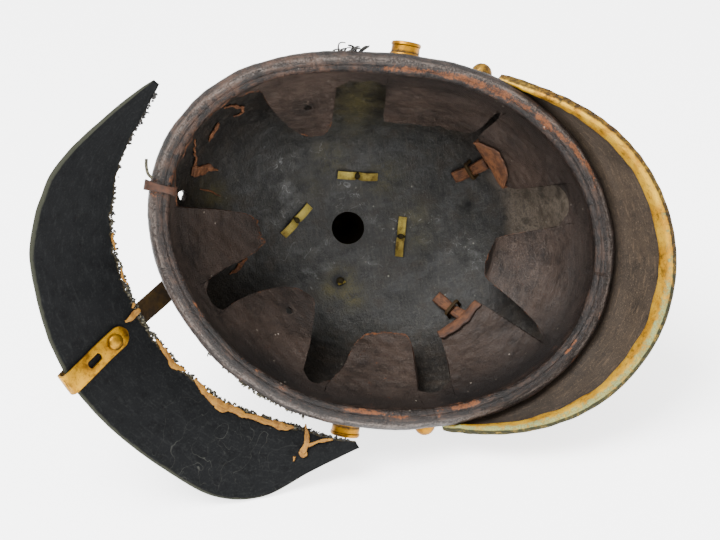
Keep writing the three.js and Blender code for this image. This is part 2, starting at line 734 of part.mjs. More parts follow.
// The loops go from the plate through slits in the shell; each ends in an eye.
function loopBar(loop) {
  const top = PLATE_CLEAR + PLATE.wall / 2;
  const bottom = -SHELL_WALL - LOOP.depth;
  const bar = block(LOOP.thick, LOOP.width, top - bottom, [0, 0, (top + bottom) / 2]);
  const eye = block(LOOP.thick * 3, LOOP.eyeWidth, LOOP.eyeHeight, [0, 0, eyeHeight()]);
  return cut(bar, [eye]).applyMatrix4(loopFrame(loop));
}

const eyeHeight = () => -SHELL_WALL - 1.7 - LOOP.eyeHeight / 2;

const frontPlate = () => join([platePlate(), ...LOOPS.map(loopBar)]);

function plateWedge(loop) {
  const { length, width, thick } = WEDGE;
  const strip = new THREE.BoxGeometry(length, width, thick);
  return strip.translate(-1, 0, eyeHeight()).applyMatrix4(loopFrame(loop));
}

// ---- assembly ---------------------------------------------------------------------------

const PIECES = [
  { name: 'shell', material: SHELL_LEATHER, make: shell },
  { name: 'lining', material: LINING_LEATHER, make: lining },
  { name: 'front_visor', material: VISOR_LEATHER, make: frontVisor },
  { name: 'front_visor_trim', material: BRASS, make: frontVisorTrim },
  { name: 'rear_visor', material: TORN_LEATHER, make: tornVisor },
  { name: 'rear_spine', material: BRASS, make: spine },
  { name: 'rear_spine_stud', material: BRASS, make: spineStud },
  { name: 'side_post_left', material: BRASS, make: () => sidePost(1) },
  { name: 'side_post_right', material: BRASS, make: () => sidePost(-1) },
  { name: 'trim_rivet_left', material: BRASS, make: () => trimRivet(1) },
  { name: 'trim_rivet_right', material: BRASS, make: () => trimRivet(-1) },
  { name: 'spike', material: BRASS, make: spike },
  ...BASE_STUDS.map((stud) => (
    { name: stud.name, material: BRASS, make: () => baseStud(stud) })),
  { name: 'front_plate', material: BRASS, make: frontPlate },
  ...LOOPS.map((loop) => (
    { name: loop.name, material: TAN_LEATHER, make: () => plateWedge(loop) })),
];

const helmet = new THREE.Group();
PIECES.forEach(({ name, material, make }) => {
  const mesh = new THREE.Mesh(make(), material);
  mesh.name = name;
  helmet.add(mesh);
});

// Laid down, with its lowest point on the ground under the middle of its box.
const lying = new THREE.Group();
lying.rotation.set(REST.lean * RAD, REST.tilt * RAD, REST.turn * RAD, 'ZYX');
lying.add(helmet);
const part = new THREE.Group();
part.add(lying);
const box = new THREE.Box3().setFromObject(part, true);
const middle = box.getCenter(new THREE.Vector3());
part.position.set(-middle.x, -middle.y, -box.min.z);

export default part;
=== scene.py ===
import json
import math

import bmesh
import bpy
import numpy as np
from mathutils import Euler, Matrix


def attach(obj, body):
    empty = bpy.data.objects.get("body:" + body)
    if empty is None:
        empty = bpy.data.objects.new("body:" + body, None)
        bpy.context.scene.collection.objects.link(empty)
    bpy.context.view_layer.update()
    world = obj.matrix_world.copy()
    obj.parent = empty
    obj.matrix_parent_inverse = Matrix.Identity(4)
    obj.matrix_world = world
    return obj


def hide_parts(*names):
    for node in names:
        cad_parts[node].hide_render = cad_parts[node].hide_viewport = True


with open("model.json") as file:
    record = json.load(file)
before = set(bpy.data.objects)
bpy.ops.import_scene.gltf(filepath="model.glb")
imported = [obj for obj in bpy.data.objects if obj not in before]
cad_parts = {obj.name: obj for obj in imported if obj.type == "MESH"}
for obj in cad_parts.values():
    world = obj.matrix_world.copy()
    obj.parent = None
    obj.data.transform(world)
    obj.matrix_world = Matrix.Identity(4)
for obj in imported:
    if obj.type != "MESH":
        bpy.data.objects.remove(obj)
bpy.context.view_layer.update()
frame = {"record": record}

# ---- How the helmet lies -----------------------------------------------------------------
# Every piece is measured on the upright helmet: X to its front, Y to the wearer's left and
# Z to the crown, in millimetres from the middle of the lower edge. The helmet lies leant
# over on its left side, and its two chin-strap posts say where.
LEAN, TILT, TURN = -120.54, 18.55, -4.78
BETWEEN_POSTS = np.array([-0.412, 0.948, 17.0])

lie = np.array(Euler([math.radians(a) for a in (LEAN, TILT, TURN)], "XYZ").to_matrix())
post_faces = [np.array(mount["pos_m"]) for mount in frame["record"]["mounts"]]
lie_offset = sum(post_faces) / len(post_faces) - lie @ BETWEEN_POSTS / 1000


def laid(points):
    """Points of the upright helmet, in metres, where it lies."""
    return np.asarray(points, float) @ lie.T / 1000 + lie_offset


# ---- View, ground and light --------------------------------------------------------------
# A short telephoto view into the hollow of the helmet, on a pale matt table that glows a
# little. A wide window stands overhead to the left, with a weak bounce from the viewer's side.
EYE = (-83.2, -23.2, -663.8)
EYE_RIGHT = (0.9824, -0.1556, -0.1029)
EYE_UP = (-0.1484, -0.9861, 0.0742)
LENS_MM, SENSOR_MM = 70, 36
TABLE_SIZE, TABLE_GLOW = 5.0, 2.6
LIGHTS = [  # name, where it stands, width, watts
    ("window", (-0.55, -0.35, 1.75), 1.1, 90.0), ("bounce", (0.5, -1.9, 0.8), 1.5, 22.0),
]
SKY_STRENGTH = 1.7


def unit(vectors):
    return vectors / np.linalg.norm(vectors, axis=-1, keepdims=True)


def put(name, data):
    """Adds a mesh, a camera or a lamp to the scene."""
    thing = bpy.data.objects.new(name, data)
    bpy.context.scene.collection.objects.link(thing)
    return thing


def stood(place, side, up, back):
    return Matrix.Translation(place) @ Matrix(np.array([side, up, back]).T.tolist()).to_4x4()


right = unit(lie @ EYE_RIGHT)
back = unit(np.cross(right, lie @ EYE_UP))
eye = put("eye", bpy.data.cameras.new("eye"))
eye.matrix_world = stood(laid(EYE), right, np.cross(back, right), back)
eye.data.lens, eye.data.sensor_width = LENS_MM, SENSOR_MM
eye.data.clip_start = 0.02
bpy.context.scene.camera = eye


class Shade:
    """One value or colour of a finish; arithmetic on it adds Math nodes."""

    def __init__(self, finish, socket):
        self.finish = finish
        self.socket = socket

    def reckon(self, operation, first, second):
        return self.finish.node("Math", {"operation": operation}, {0: first, 1: second})

    def __add__(self, other):
        return self.reckon("ADD", self, other)

    def __sub__(self, other):
        return self.reckon("SUBTRACT", self, other)

    def __rsub__(self, other):
        return self.reckon("SUBTRACT", other, self)

    def __mul__(self, other):
        return self.reckon("MULTIPLY", self, other)

    __radd__ = __add__
    __rmul__ = __mul__


def paint(red, green, blue):
    """A colour as the eye names it, from 0 to 255, in linear light."""
    return tuple((c / 255 / 12.92) if c <= 10 else ((c / 255 + 0.055) / 1.055) ** 2.4
                 for c in (red, green, blue)) + (1.0,)


class Finish:
    """A finish mixed from nodes, with sizes in millimetres."""

    def __init__(self, name):
        self.material = bpy.data.materials.new(name)
        self.material.use_nodes = True
        self.tree = self.material.node_tree
        self.tree.nodes.clear()

    def node(self, kind, settings=None, inputs=None, out=0):
        made = self.tree.nodes.new("ShaderNode" + kind)
        for key, value in (settings or {}).items():
            setattr(made, key, value)
        for key, value in (inputs or {}).items():
            if isinstance(value, Shade):
                self.tree.links.new(value.socket, made.inputs[key])
            else:
                made.inputs[key].default_value = value
        return None if out is None else Shade(self, made.outputs[out])

    def place(self):
        return self.node("TexCoord", out="Object")

    def mark(self, name, out="Fac"):
        return self.node("Attribute", {"attribute_name": name}, out=out)

    def stretch(self, place, x, y, z):
        return self.node("VectorMath", {"operation": "MULTIPLY"}, {0: place, 1: (x, y, z)})

    def noise(self, place, size, detail=4, rough=0.55, warp=0.0):
        return self.node("TexNoise", None, {
            "Vector": place, "Scale": 1000 / size, "Detail": detail, "Roughness": rough,
            "Distortion": warp})

    def noises(self, place, *kinds):
        return [self.noise(place, *kind) for kind in kinds]

    def cells(self, place, size, feature="F1"):
        return self.node("TexVoronoi", {"feature": feature}, {"Vector": place, "Scale": 1000 / size})

    def between(self, value, low, high):
        return self.node("MapRange", {"interpolation_type": "SMOOTHSTEP"}, {
            0: value, 1: low, 2: high})

    def hairs(self, place, size, width=0.006, warp=2.0):
        """Thin wandering lines, as fine scratches make."""
        wave = self.noise(place, size, 2, 0.4, warp) - 0.5
        return 1 - self.between(self.node("Math", {"operation": "ABSOLUTE"}, {0: wave}),
                                width * 0.2, width)

    def blend(self, mask, *paints):
        first, second = (paint(*p) if isinstance(p, tuple) else p for p in paints)
        return self.node("Mix", {"data_type": "RGBA"}, {0: mask, 6: first, 7: second}, out=2)

    def coats(self, colour, *coats):
        """Lays coats over a colour, each with its mask, its strength and its paint."""
        for mask, strength, over in coats:
            colour = self.blend(mask * strength, colour, over)
        return colour

    def bump(self, height, depth, strength=1.0):
        return self.node("Bump", None, {
            "Height": height, "Distance": depth / 1000, "Strength": strength})

    def cover(self, **inputs):
        """Closes the finish; each input is named after the shader's socket."""
        skin = self.node("BsdfPrincipled", None, {
            key.replace("_", " ").title().replace("Ior", "IOR"): value
            for key, value in inputs.items()})
        self.node("OutputMaterial", None, {"Surface": skin}, out=None)
        return self.material


def table_paper():
    paper = Finish("table_paper")
    grain = paper.noise(paper.place(), 3.0, 3)
    return paper.cover(
        base_color=paper.blend(grain, (247, 248, 249), (250, 250, 251)), roughness=0.75,
        emission_color=paint(250, 250, 250), emission_strength=TABLE_GLOW,
        normal=paper.bump(grain, 0.05))


table = put("table", bpy.data.meshes.new("table"))
table.data.from_pydata([(x * TABLE_SIZE / 2, y * TABLE_SIZE / 2, 0) for x, y in (
    (-1, -1), (1, -1), (1, 1), (-1, 1))], [], [(0, 1, 2, 3)])
table.data.materials.append(table_paper())

for name, stand, width, watts in LIGHTS:
    lamp = put(name, bpy.data.lights.new(name, "AREA"))
    lamp.data.size, lamp.data.energy = width, watts
    away = unit(np.array(stand))
    side = unit(np.cross((0, 0, 1), away))
    lamp.matrix_world = stood(stand, side, np.cross(away, side), away)

sky = bpy.data.worlds.new("room")
sky.use_nodes = True
sky_light = sky.node_tree.nodes["Background"].inputs
sky_light["Color"].default_value = paint(240, 240, 240)
sky_light["Strength"].default_value = SKY_STRENGTH
bpy.context.scene.world = sky

# ---- Shell -------------------------------------------------------------------------------
# The skull of the helmet, one piece of boiled leather about 2.6 mm thick, pressed over a
# block. Its outside is black lacquer gone to fine cracks; its inside is bare hide, stained
# grey and blue by age, with chalky scuffs and green bloom round the brass studs.
RIM_MEAN = 102.1
RIM_LOBES = [(1, 2.5, -0.5), (2, 11.7, 1.5), (3, 0.0, -1.45), (4, 0.3, 1.2)]
SHELL_WALL, SHELL_INSET, SHELL_EDGE_Z = 2.6, 2.5, 4.5
CROWN_X, CROWN_Z = -4.0, 126.0
DOME_POWER, ROUNDING = 0.87, (0.4, 0.72)
SPIKE_HOLE_R = 9.2
SHELL_COLUMNS, OUTSIDE_ROWS, INSIDE_ROWS = 300, 60, 110
VENT_BEARING, VENT_Z, VENT_HALF = 183.0, 69.0, (5.6, 2.7)
DUST_AND_LIGHT_BEARING = -12
WALL_STAINS = {  # x and y in plan on the inside wall, how far each spreads, how strong
    "chalk": [
        (-48, -29, 6, 0.8), (-42, -33, 5, 0.7), (-46, -5, 6, 0.9), (-39, -3, 6, 1.0),
        (-44, 2, 4, 0.8), (-43, -16, 6, 0.9), (-10, -18, 7, 0.7), (-4, -16, 5, 0.7),
        (-14, 21, 5, 0.7), (-24, 29, 6, 0.9), (-19, 16, 6, 0.8), (11, -5, 5, 0.5),
        (11, 17, 5, 0.5), (22, -6, 5, 0.5), (62, 4, 8, 0.8), (35, -8, 12, 0.35),
        (-31, -40, 8, 0.35), (-28, 24, 12, 0.4),
    ],
    "bloom": [
        (-21, -36, 9, 0.7), (10, -31, 9, 0.8), (31, -13, 7, 0.7), (35, 0, 7, 0.6),
        (-8, 35, 6, 1.3), (3, 37, 7, 1.4), (-3, 30, 7, 1.4), (-82, -7, 8, 1.0),
        (-12, -68, 13, 0.9), (-29, -20, 7, 0.4),
    ],
    "soot": [
        (-5, 30, 3.6, 2.4), (58, -24, 1.7, 1.6), (-62, -42, 26, 0.5), (-38, 58, 30, 0.4),
        (5, -31, 4, 0.8), (-36, 1, 4, 0.6), (28, 1, 4, 0.7),
    ],
}


def smooth(low, high, value):
    t = np.clip((np.asarray(value, float) - low) / (high - low), 0, 1)
    return t * t * (3 - 2 * t)


def mixed(first, second, t):
    return first + (second - first) * t


def rim_radius(bearing):
    return RIM_MEAN + sum(along * np.cos(waves * bearing) + across * np.sin(waves * bearing)
                          for waves, along, across in RIM_LOBES)


def rim_point(bearing, beyond, z):
    r = rim_radius(bearing) + beyond
    return np.stack([r * np.cos(bearing), r * np.sin(bearing), z + 0 * r], -1)


def dome_point(bearing, rise, depth=0.0):
    """A point of the dome; rise goes from 0 at the edge to a quarter turn at the crown."""
    bearing, rise, depth = np.broadcast_arrays(bearing, rise, depth)
    lobes = mixed(rim_radius(bearing), RIM_MEAN, smooth(*ROUNDING, rise / (np.pi / 2)))
    r = (lobes - SHELL_INSET - depth) * np.clip(np.cos(rise), 0, 1) ** DOME_POWER
    lift = np.clip(np.sin(rise), 0, 1) ** DOME_POWER
    z = SHELL_EDGE_Z + (CROWN_Z - SHELL_EDGE_Z - depth) * lift
    return np.stack([r * np.cos(bearing) + CROWN_X * lift, r * np.sin(bearing), z], -1)


def rise_at_height(z):
    return np.arcsin(((z - SHELL_EDGE_Z) / (CROWN_Z - SHELL_EDGE_Z)) ** (1 / DOME_POWER))


def rise_at_radius(r, depth=0.0):
    return np.arccos((r / (RIM_MEAN - SHELL_INSET - depth)) ** (1 / DOME_POWER))


def dome_frame(bearing, rise, depth=0.0):
    """Centre and axes on the dome: down toward the edge, sideways, and out of the wall."""
    step = 0.01
    down = unit(dome_point(bearing, rise - step) - dome_point(bearing, rise + step))
    along = unit(dome_point(bearing + step, rise) - dome_point(bearing - step, rise))
    out = unit(np.cross(down, along))
    return dome_point(bearing, rise) - out * depth, np.stack([down, np.cross(out, down), out])


def on_wall(bearing, z, depth=0.0):
    return dome_frame(math.radians(bearing), rise_at_height(z), depth)


def unevenness(points, size, seed, waves=16):
    """A smooth random rise and fall over the points, about 1 high, one hump each size."""
    rng = np.random.default_rng(seed)
    ways = unit(rng.normal(size=(waves, 3))) * 2 * np.pi / size
    ways *= rng.uniform(0.6, 1.5, (waves, 1))
    turns = np.asarray(points) @ ways.T + rng.uniform(0, 2 * np.pi, waves)
    return np.sin(turns).sum(-1) / math.sqrt(waves / 2)


def run_along(length, across=0.0, off=0.0):
    """Points on a strip laid out flat, from how far along and across it they are."""
    return np.stack([length, across + 0 * length, off + 0 * length], -1)


def quads(rows, ring, closed_rows=False, closed_ring=True):
    """Faces of a grid of points, rows of one ring each."""
    r = np.arange(rows if closed_rows else rows - 1)[:, None]
    i = np.arange(ring if closed_ring else ring - 1)[None, :]
    near, far = r * ring, ((r + 1) % rows) * ring
    j = (i + 1) % ring
    return np.stack([near + i, near + j, far + j, far + i], -1).reshape(-1, 4).tolist()


def bar_faces(rows, ring):
    """Faces of a closed bar, rows of one ring each with a cap at both ends."""
    last = (rows - 1) * ring
    return quads(rows, ring) + [list(range(ring))[::-1], list(range(last, last + ring))]


def make(name, points, faces, finish, marks=None, crisp=40, stands_for=()):
    """Adds a finished piece of the helmet, riding with it."""
    mesh = bpy.data.meshes.new(name)
    mesh.from_pydata(laid(np.asarray(points).reshape(-1, 3)).tolist(), [], faces)
    for mark, values in (marks or {}).items():
        values = np.asarray(values, np.float32)
        values = values if values.ndim else np.full(len(mesh.vertices), values)
        kind, key = ("FLOAT", "value") if values.size == len(mesh.vertices) else (
            "FLOAT_VECTOR", "vector")
        mesh.attributes.new(mark, kind, "POINT").data.foreach_set(key, values.ravel())
    form = bmesh.new()
    form.from_mesh(mesh)
    bmesh.ops.recalc_face_normals(form, faces=form.faces)
    form.to_mesh(mesh)
    form.free()
    mesh.shade_smooth()
    mesh.set_sharp_from_angle(angle=math.radians(crisp))
    for one in finish if isinstance(finish, list) else [finish]:
        mesh.materials.append(one)
    piece = put(name, mesh)
    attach(piece, "root")
    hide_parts(*stands_for)
    return piece


def pierce(piece, outline, axis_frame, reach):
    """Cuts a hole through a piece, its outline given across the frame's third axis."""
    centre, axes = axis_frame
    flat = np.array([(a, b, h) for h in (-reach, reach) for a, b in outline])
    punch = put("punch", bpy.data.meshes.new("punch"))
    punch.data.from_pydata(laid(flat @ axes + centre).tolist(), [], bar_faces(2, len(outline)))
    cut = piece.modifiers.new("hole", "BOOLEAN")
    cut.operation, cut.solver, cut.object = "DIFFERENCE", "EXACT", punch
    depsgraph = bpy.context.evaluated_depsgraph_get()
    cut_mesh = bpy.data.meshes.new_from_object(piece.evaluated_get(depsgraph))
    piece.modifiers.clear()
    piece.data = cut_mesh
    bpy.data.objects.remove(punch)


def shell_lacquer():
    skin = Finish("shell_lacquer")
    place = skin.place()
    crackle = skin.cells(place, 2.4, "DISTANCE_TO_EDGE")
    cloud, patch = skin.noises(place, (42, 4), (16, 6, 0.65))
    streak = skin.noise(skin.stretch(place, 1, 0.25, 1), 3.2, 5)
    rubbed = skin.between(patch, 0.6, 0.74)
    colour = skin.coats(
        skin.blend(cloud, (10, 9, 9), (24, 21, 19)),
        (1 - skin.between(crackle, 0.0, 0.09), 0.6, (34, 27, 22)),
        (rubbed, 0.6, (52, 34, 24)),
        (skin.between(streak, 0.66, 0.74), 0.35, (80, 76, 72)))
    return skin.cover(
        base_color=colour, roughness=cloud * 0.2 + rubbed * 0.25 + 0.3, specular_ior_level=0.12,
        normal=skin.bump(crackle * 0.8 + cloud * 0.8 - rubbed * 0.25, 0.5, 0.7))


def bare_hide():
    skin = Finish("bare_hide")
    place, chalk = skin.place(), skin.mark("chalk")
    cloud, patch, fine = skin.noises(place, (34, 5, 0.6, 0.4), (9, 6, 0.62), (1.2, 5, 0.65))
    wipe = skin.noise(skin.stretch(place, 0.35, 1, 1), 7, 5, 0.6)
    grid = skin.noise(skin.stretch(place, 1, 0.3, 0.12), 1.5, 5, 0.7)
    crown = skin.between(skin.mark("crown") + (patch - 0.5) * 0.5, 0.15, 0.7)
    scuff = chalk * skin.between(patch * 0.45 + fine * 0.3 + wipe * 0.4, 0.5, 0.72)
    lines = skin.hairs(place, 9, 0.012, 1.2) * skin.between(patch, 0.45, 0.6)
    specks = 1 - skin.between(skin.cells(place, 6.5), 0.05, 0.11)
    umber = skin.blend(cloud, (20, 18, 16), (34, 29, 25))
    slate = skin.blend(cloud, (26, 26, 25), (49, 48, 45))
    # Pale dusty colour for the front wall, partly dust and partly painted light.
    dust_and_painted_light = skin.blend(skin.between(fine, 0.35, 0.65), (82, 73, 63), (118, 106, 93))
    colour = skin.coats(
        skin.blend(crown, umber, slate),
        (skin.between(skin.mark("dust_and_painted_light") + (patch - 0.5) * 0.5, 0.3, 0.75), 0.85, dust_and_painted_light),
        (skin.between(patch, 0.48, 0.66), 0.55, (40, 32, 24)),
        (skin.between(patch, 0.48, 0.36), 0.55, (14, 14, 14)),
        (skin.between(wipe, 0.5, 0.64) * crown, 0.4, (62, 62, 62)),
        (skin.between(grid, 0.52, 0.64), 0.35, (66, 62, 56)),
        (skin.between(fine, 0.54, 0.66), 0.45, (12, 12, 11)),
        (skin.between(fine, 0.46, 0.34), 0.25, (84, 82, 78)),
        (scuff, 0.65, (112, 112, 110)),
        (lines * chalk, 0.85, (170, 172, 172)),
        (lines, 0.12, (90, 88, 84)),
        (skin.mark("bloom") * skin.between(patch * 0.6 + fine * 0.5, 0.42, 0.66), 0.6,
         (80, 74, 42)),
        (specks * skin.between(cloud, 0.5, 0.62), 0.7, (130, 128, 116)),
        (skin.mark("soot"), 0.85, (9, 9, 9)))
    return skin.cover(
        base_color=colour, roughness=patch * 0.3 + scuff * 0.2 + 0.36, specular_ior_level=0.3,
        normal=skin.bump(patch * 0.9 + fine * 0.9 + wipe * 0.5 + grid * 0.5, 0.6, 0.8))


def make_shell():
    bearing = np.arange(SHELL_COLUMNS)[:, None] * 2 * np.pi / SHELL_COLUMNS
    out_rise = rise_at_radius(SPIKE_HOLE_R) * np.linspace(0, 1, OUTSIDE_ROWS)[None, :] ** 1.1
    in_top = rise_at_radius(SPIKE_HOLE_R, SHELL_WALL)
    in_rise = in_top * np.linspace(1, 0, INSIDE_ROWS)[None, :] ** 1.1
    inner = dome_point(bearing, in_rise, SHELL_WALL)
    swell = 0.3 * unevenness(inner, 30, 3) + 0.08 * unevenness(inner, 7, 4)
    fade = smooth(8, 25, inner[..., 2])[..., None]
    inner = inner - unit(inner - [CROWN_X, 0, 30]) * (swell[..., None] + 0.3) * fade
    points = np.concatenate([dome_point(bearing, out_rise), inner], 1)
    plan, height = points[..., :2], points[..., 2]
    marks = {kind: np.max([strength * np.exp(-(np.linalg.norm(plan - [x, y], axis=-1) / spread)
                                             ** 2) for x, y, spread, strength in stains], 0)
             for kind, stains in WALL_STAINS.items()}
    marks["crown"] = smooth(70, 120, height)
    # The front wall gets a pale colour: partly a dusty layer, partly painted light over the wall
    # where the front tongues shade it.
    ahead = np.abs((np.degrees(bearing) + 180 - DUST_AND_LIGHT_BEARING) % 360 - 180)
    marks["dust_and_painted_light"] = (1 - smooth(16, 36, ahead)) * (1 - smooth(74, 102, height))
    ring = points.shape[1]
    faces = quads(SHELL_COLUMNS, ring, True, True)
    piece = make("shell_skull", points, faces, [shell_lacquer(), bare_hide()],
                 marks, stands_for=["shell"])
    piece.data.polygons.foreach_set("material_index", [
        int(OUTSIDE_ROWS - 1 <= i % ring < ring - 1) for i in range(len(faces))])
    turn = np.linspace(0, 2 * np.pi, 17)[:-1]
    ragged = 1 + 0.12 * np.sin(3 * turn + 1) + 0.08 * np.sin(5 * turn)
    vent = np.stack([ragged * np.cos(turn), ragged * np.sin(turn)], -1) * VENT_HALF
    pierce(piece, vent, on_wall(VENT_BEARING, VENT_Z), 8)


make_shell()

# ---- Lining ------------------------------------------------------------------------------
# A leather sweatband, sewn to a rolled and padded edge that wraps the shell's lower edge.
# The band is cut into tongues that lean in; the one at the right rear is torn away. The
# roll's glaze is rubbed through to orange hide, and cut edges show the same raw orange.
GROOVE_OUT, GROOVE_IN, GROOVE_Z = 2.05, 5.55, 4.2
ROLL_PROFILE = [  # inset from the outside, height
    (2.05, 7.5), (0.7, 7.3), (0.0, 5.4), (0.35, 3.0), (1.7, 1.2), (3.4, 0.3), (5.2, 0.05),
    (6.6, 0.3), (7.1, 0.75), (7.7, 0.65), (9.3, 1.3), (10.3, 3.4), (9.6, 6.4),
]
BAND_INSET, BAND_WALL, SLIT_Z, TONGUE_TIP_Z = 9.0, 1.9, 27.0, 72.0
TONGUES = [  # root bearings, tip bearings, tip heights, lean, squareness, ragged, raw, bend
    ((-13, 20.5), (-8, 12), (75, 76), 44.5, (3.6, 3.4), 0.2, 0.9, 9),
    ((23, 54), (22, 44), (73, 67), 32.5, (14, 11), 0.25, 0.8, 0),
    ((65.5, 99.5), (57.5, 86), (74, 75), 29.5, (14, 4.5), 0.25, 0.9, 0),
    ((108.5, 145), (110, 146.5), (76, 74), 39, (3.0, 2.6), 0.1, 0.45, 0),
    ((156, 180), (161, 181.5), (73, 74), 43.5, (5, 7), 0.55, 1.0, 0),
    ((223.5, 247.5), (222.5, 245.5), (74.5, 73.5), 31, (2.6, 2.8), 0.1, 0.6, 0),
    ((265.5, 305.7), (270, 309.3), (72, 66), 22, (13, 5), 0.4, 0.2, 0),
    ((307.5, 335.5), (310.5, 335), (61, 71), 24.5, (7.7, 7.2), 0.3, 0.25, 0),
]
SLIT_RISE, TONGUE_WIDTH, RUN_RADIUS = 7.0, 42, 95
STUMP_FROM, STUMP_TO = 183, 221
STUMP_HEIGHTS = [21, 13, 17, 12, 15, 13, 20]
TONGUE_COLUMNS, GAP_STEP, BAND_ROWS = 56, 0.55, 44
ROLL_STEPS, ROLL_TOP_Z, BAND_FOOT_Z = 40, 9, 7.5
ROLL_RUBS = [  # where it is rubbed raw: bearing, inset, half length, half width, strength
    (263, 8.0, 5, 1.5, 0.8), (271, 7.4, 6, 1.6, 0.9), (281, 7.2, 6, 2.0, 0.95),
    (291, 7.0, 6, 2.2, 1.1), (300, 6.4, 5, 2.6, 1.15), (308, 6.2, 5, 2.0, 0.9),
    (316, 6.4, 4, 2.0, 1.0), (321, 5.2, 3, 1.6, 0.9), (327, 3.8, 4, 1.4, 1.0),
    (333, 2.6, 4, 1.4, 1.05), (84, 8.6, 8, 1.2, 0.85), (75, 7.2, 5, 0.8, 0.6),
    (53.5, 9.1, 4.5, 1.3, 1.15), (20, 6.7, 3, 0.8, 0.8), (23, 1.2, 2.5, 0.8, 0.7),
    (12, 2.0, 5, 0.8, 0.5), (185, 3.0, 3, 4.0, 0.8), (187, 9.5, 3, 3.0, 0.8),
    (150, 9.2, 9, 0.9, 0.5), (128, 9.2, 7, 0.9, 0.5), (245, 8.6, 8, 0.9, 0.4),
]
LACE_HOLES = [(235.4, 52.6, 31), (126.5, 63.2, 39)]  # bearing, height, its tongue's lean
LACE_HOLE_R = 1.9


def tongue_top(tongue, share):
    """How high a tongue stands at each share of its width, and how full it is there."""
    heights, square = tongue[2], tongue[4]
    corner = np.where(share < 0.5, *square)
    full = np.clip(1 - np.abs(2 * share - 1) ** corner, 0, 1) ** (1 / corner)
    return mixed(SLIT_Z + SLIT_RISE, mixed(*heights, share), full), full


def tongue_columns(tongue):
    root, tip, _, lean, _, ragged, raw, bend = tongue
    share = (np.sin(np.linspace(-np.pi / 2, np.pi / 2, TONGUE_COLUMNS)) + 1) / 2
    top, full = tongue_top(tongue, share)
    line = run_along(share * TONGUE_WIDTH, 0, 31 * lean)
    top = top + ragged * full * (unevenness(line, 8, 5) + 0.4 * unevenness(line, 2.5, 6))
    rest = [0 * share + value for value in (lean, raw, bend)]
    return np.stack([mixed(*root, share), mixed(*tip, share), top, *rest], -1)


def gap_columns(before, after):
    start, end = before[-1, 0], after[0, 0]
    end += 360 if end < start else 0
    bearing = np.arange(start + GAP_STEP, end - GAP_STEP / 2, GAP_STEP)
    lean, bend = (np.interp(bearing, [start, end], [before[-1, i], after[0, i]])
                  for i in (3, 5))
    share = (bearing - start) / (end - start)
    top = SLIT_Z + SLIT_RISE * np.abs(2 * share - 1) ** 2.5
    raw = 0 * bearing + 0.15
    if start < STUMP_FROM < end:
        steps = np.linspace(STUMP_FROM, STUMP_TO, len(STUMP_HEIGHTS))
        top = np.interp(bearing, steps, STUMP_HEIGHTS) + 1.6 * unevenness(
            run_along(bearing), 2.2, 9)
        raw = raw + 0.7
    return np.stack([bearing, bearing, top, lean, raw, bend], -1)


def through(control, count):
    """A smooth curve of count points through the control points."""
    control = np.asarray(control, float)
    ends = [2 * control[0] - control[1], 2 * control[-1] - control[-2]]
    knots = np.vstack([ends[0], control, ends[1]])
    t = np.linspace(0, len(control) - 1, count) if isinstance(count, int) else (
        np.asarray(count) * (len(control) - 1))
    i = np.clip(t.astype(int), 0, len(control) - 2)
    f = (t - i)[..., None]
    a, b, c, d = (knots[i + k] for k in range(4))
    return 0.5 * (2 * b + (c - a) * f + (2 * a - 5 * b + 4 * c - d) * f ** 2
                  + (3 * b - a - 3 * c + d) * f ** 3)


